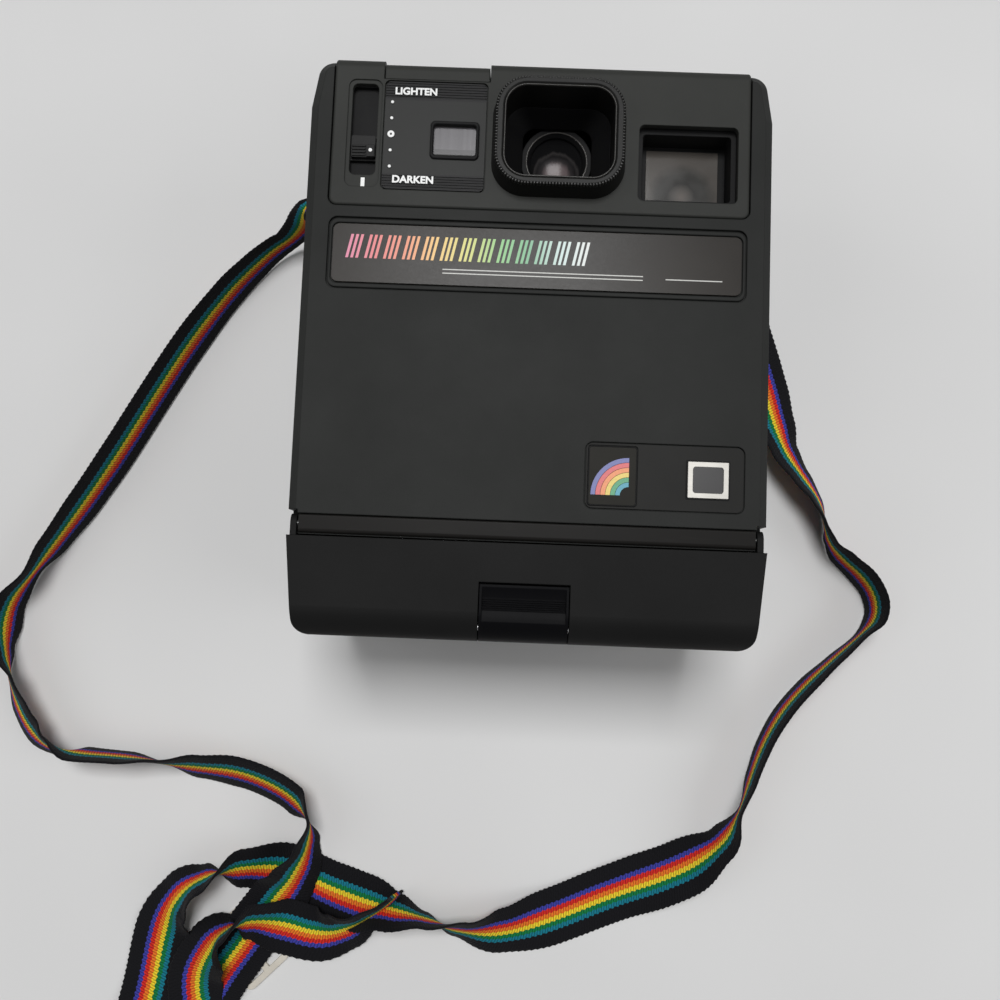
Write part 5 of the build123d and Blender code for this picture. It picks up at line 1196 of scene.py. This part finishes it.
def strap_material():
    """Black webbing with six coloured bands of twisted yarn along its middle."""
    made = Material("woven_strap")
    uv = made.node("ShaderNodeUVMap", uv_map="weave").outputs[0]
    across, along, _ = made.node("ShaderNodeSeparateXYZ", {0: uv}).outputs

    def turns(coordinate, pitch):
        return made.math("MULTIPLY", coordinate, 2 * pi / pitch)

    def wave(phase):
        return made.line(made.math("SINE", phase), 0.5, 0.5)

    stitch = made.math("SINE", turns(along, SCALLOP_PITCH))
    wavy = made.line(stitch, STITCH_SHARE, across)
    black = (0.0065, 0.0065, 0.008, 1.0)
    bands = [
        srgb(26, 120, 140),
        srgb(22, 122, 68),
        srgb(240, 212, 52),
        srgb(236, 122, 42),
        srgb(212, 46, 38),
        srgb(62, 66, 160),
        black,
    ]
    stops = [(0.0, black)]
    stops += [(BANDS_START + BAND_SHARE * number, tint) for number, tint in enumerate(bands)]
    colour = made.ramp(wavy, stops, "CONSTANT")
    # Each pick of yarn leans, so its light and dark sides run slantwise along the bands
    pick = wave(made.line(across, 2 * pi * STRAP_WIDTH / PICK_LEAN, turns(along, PICK_PITCH)))
    groove = wave(turns(across, BAND_SHARE))
    rib = wave(turns(along, RIB_PITCH))
    fuzz = made.noise(1500.0, 3.0)
    lit = made.line(pick, 0.60, made.line(rib, 0.25, 0.36))
    shade = made.math("MULTIPLY", lit, made.line(fuzz, 0.5, 0.75))
    made.link(made.mix(shade, scaled(black, 0.6), colour), "Base Color")
    yarn = made.math("ADD", made.math("MULTIPLY", pick, 0.5), made.math("MULTIPLY", groove, 0.25))
    rough = made.line(rib, 0.4, made.math("MULTIPLY", fuzz, 0.3))
    made.bump(made.math("ADD", yarn, rough), 0.8, 0.22 * MM)
    made.set(Roughness=0.85, Sheen_Weight=0.02, Sheen_Roughness=0.5, Specular_IOR_Level=0.1)
    return made.data


def make_straps():
    """Both strands of the neck strap, in place of the part's strap nodes."""
    web = strap_material()
    for name, route, node, pieces in (
        ("neck_strap_left", left_route, "strap_left", [nodes["slide_buckle"]]),
        ("neck_strap_right", right_route, "strap_right", []),
    ):
        strap, line, length = webbing(name, route, web)
        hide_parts(node)
        on_body(strap)
        tuple(line[0])
        [tuple(point) for point in line]


# ---- floor and light
def make_table():
    """Pale, faintly mottled table."""
    made = Material("table")
    colour = srgb(214, 214, 214)
    tones = [(0.35, scaled(colour, 0.97)), (0.65, scaled(colour, 1.02))]
    made.link(made.ramp(made.noise(6.0, 2.0), tones), "Base Color")
    made.set(Roughness=0.7, Specular_IOR_Level=0.2)
    corners = [(-1, -1), (1, -1), (1, 1), (-1, 1)]
    vertices = [mm(x * TABLE_HALF, y * TABLE_HALF, 0) for x, y in corners]
    floor = add_mesh("table", vertices, [(0, 1, 2, 3)], made.data)


def make_lamps():
    """Soft light from high above and a little from both sides."""
    for name, place, power, width in LAMPS:
        data = bpy.data.lights.new(name, "AREA")
        data.energy = power
        data.size = width * MM
        lamp = bpy.data.objects.new(name, data)
        lamp.location = mm(*place)
        lamp.rotation_euler = (-lamp.location).to_track_quat("-Z", "Y").to_euler()
        bpy.context.scene.collection.objects.link(lamp)


def make_room():
    """Dim light from all round, pale where it is seen, mirrored or looked at through glass."""
    world = bpy.data.worlds.new("room")
    world.use_nodes = True
    tree = world.node_tree
    background = tree.nodes["Background"]
    background.inputs["Color"].default_value = (1.0, 1.0, 1.0, 1.0)
    rays = tree.nodes.new("ShaderNodeLightPath").outputs
    seen = rays["Is Camera Ray"]
    for kind in ("Is Glossy Ray", "Is Transmission Ray"):
        either = tree.nodes.new("ShaderNodeMath")
        either.operation = "MAXIMUM"
        tree.links.new(seen, either.inputs[0])
        tree.links.new(rays[kind], either.inputs[1])
        seen = either.outputs[0]
    strength = tree.nodes.new("ShaderNodeMapRange")
    strength.inputs["To Min"].default_value = ROOM_LIGHT
    strength.inputs["To Max"].default_value = ROOM_SEEN
    tree.links.new(seen, strength.inputs["Value"])
    tree.links.new(strength.outputs["Result"], background.inputs["Strength"])
    bpy.context.scene.world = world
    bpy.context.scene.view_settings.view_transform = "Standard"


make_camera()
make_straps()
part_finishes = dress_nodes()
exposure_scale(part_finishes["frame_black"])
hood_details()
plate_details(part_finishes["case_black"])
badge_details(part_finishes["frame_black"])
pressed_spring("button_spring_coil", "button_spring", "body")
pressed_spring("latch_spring_leaf", "latch_spring", "lower_cover")
make_table()
make_lamps()
make_room()
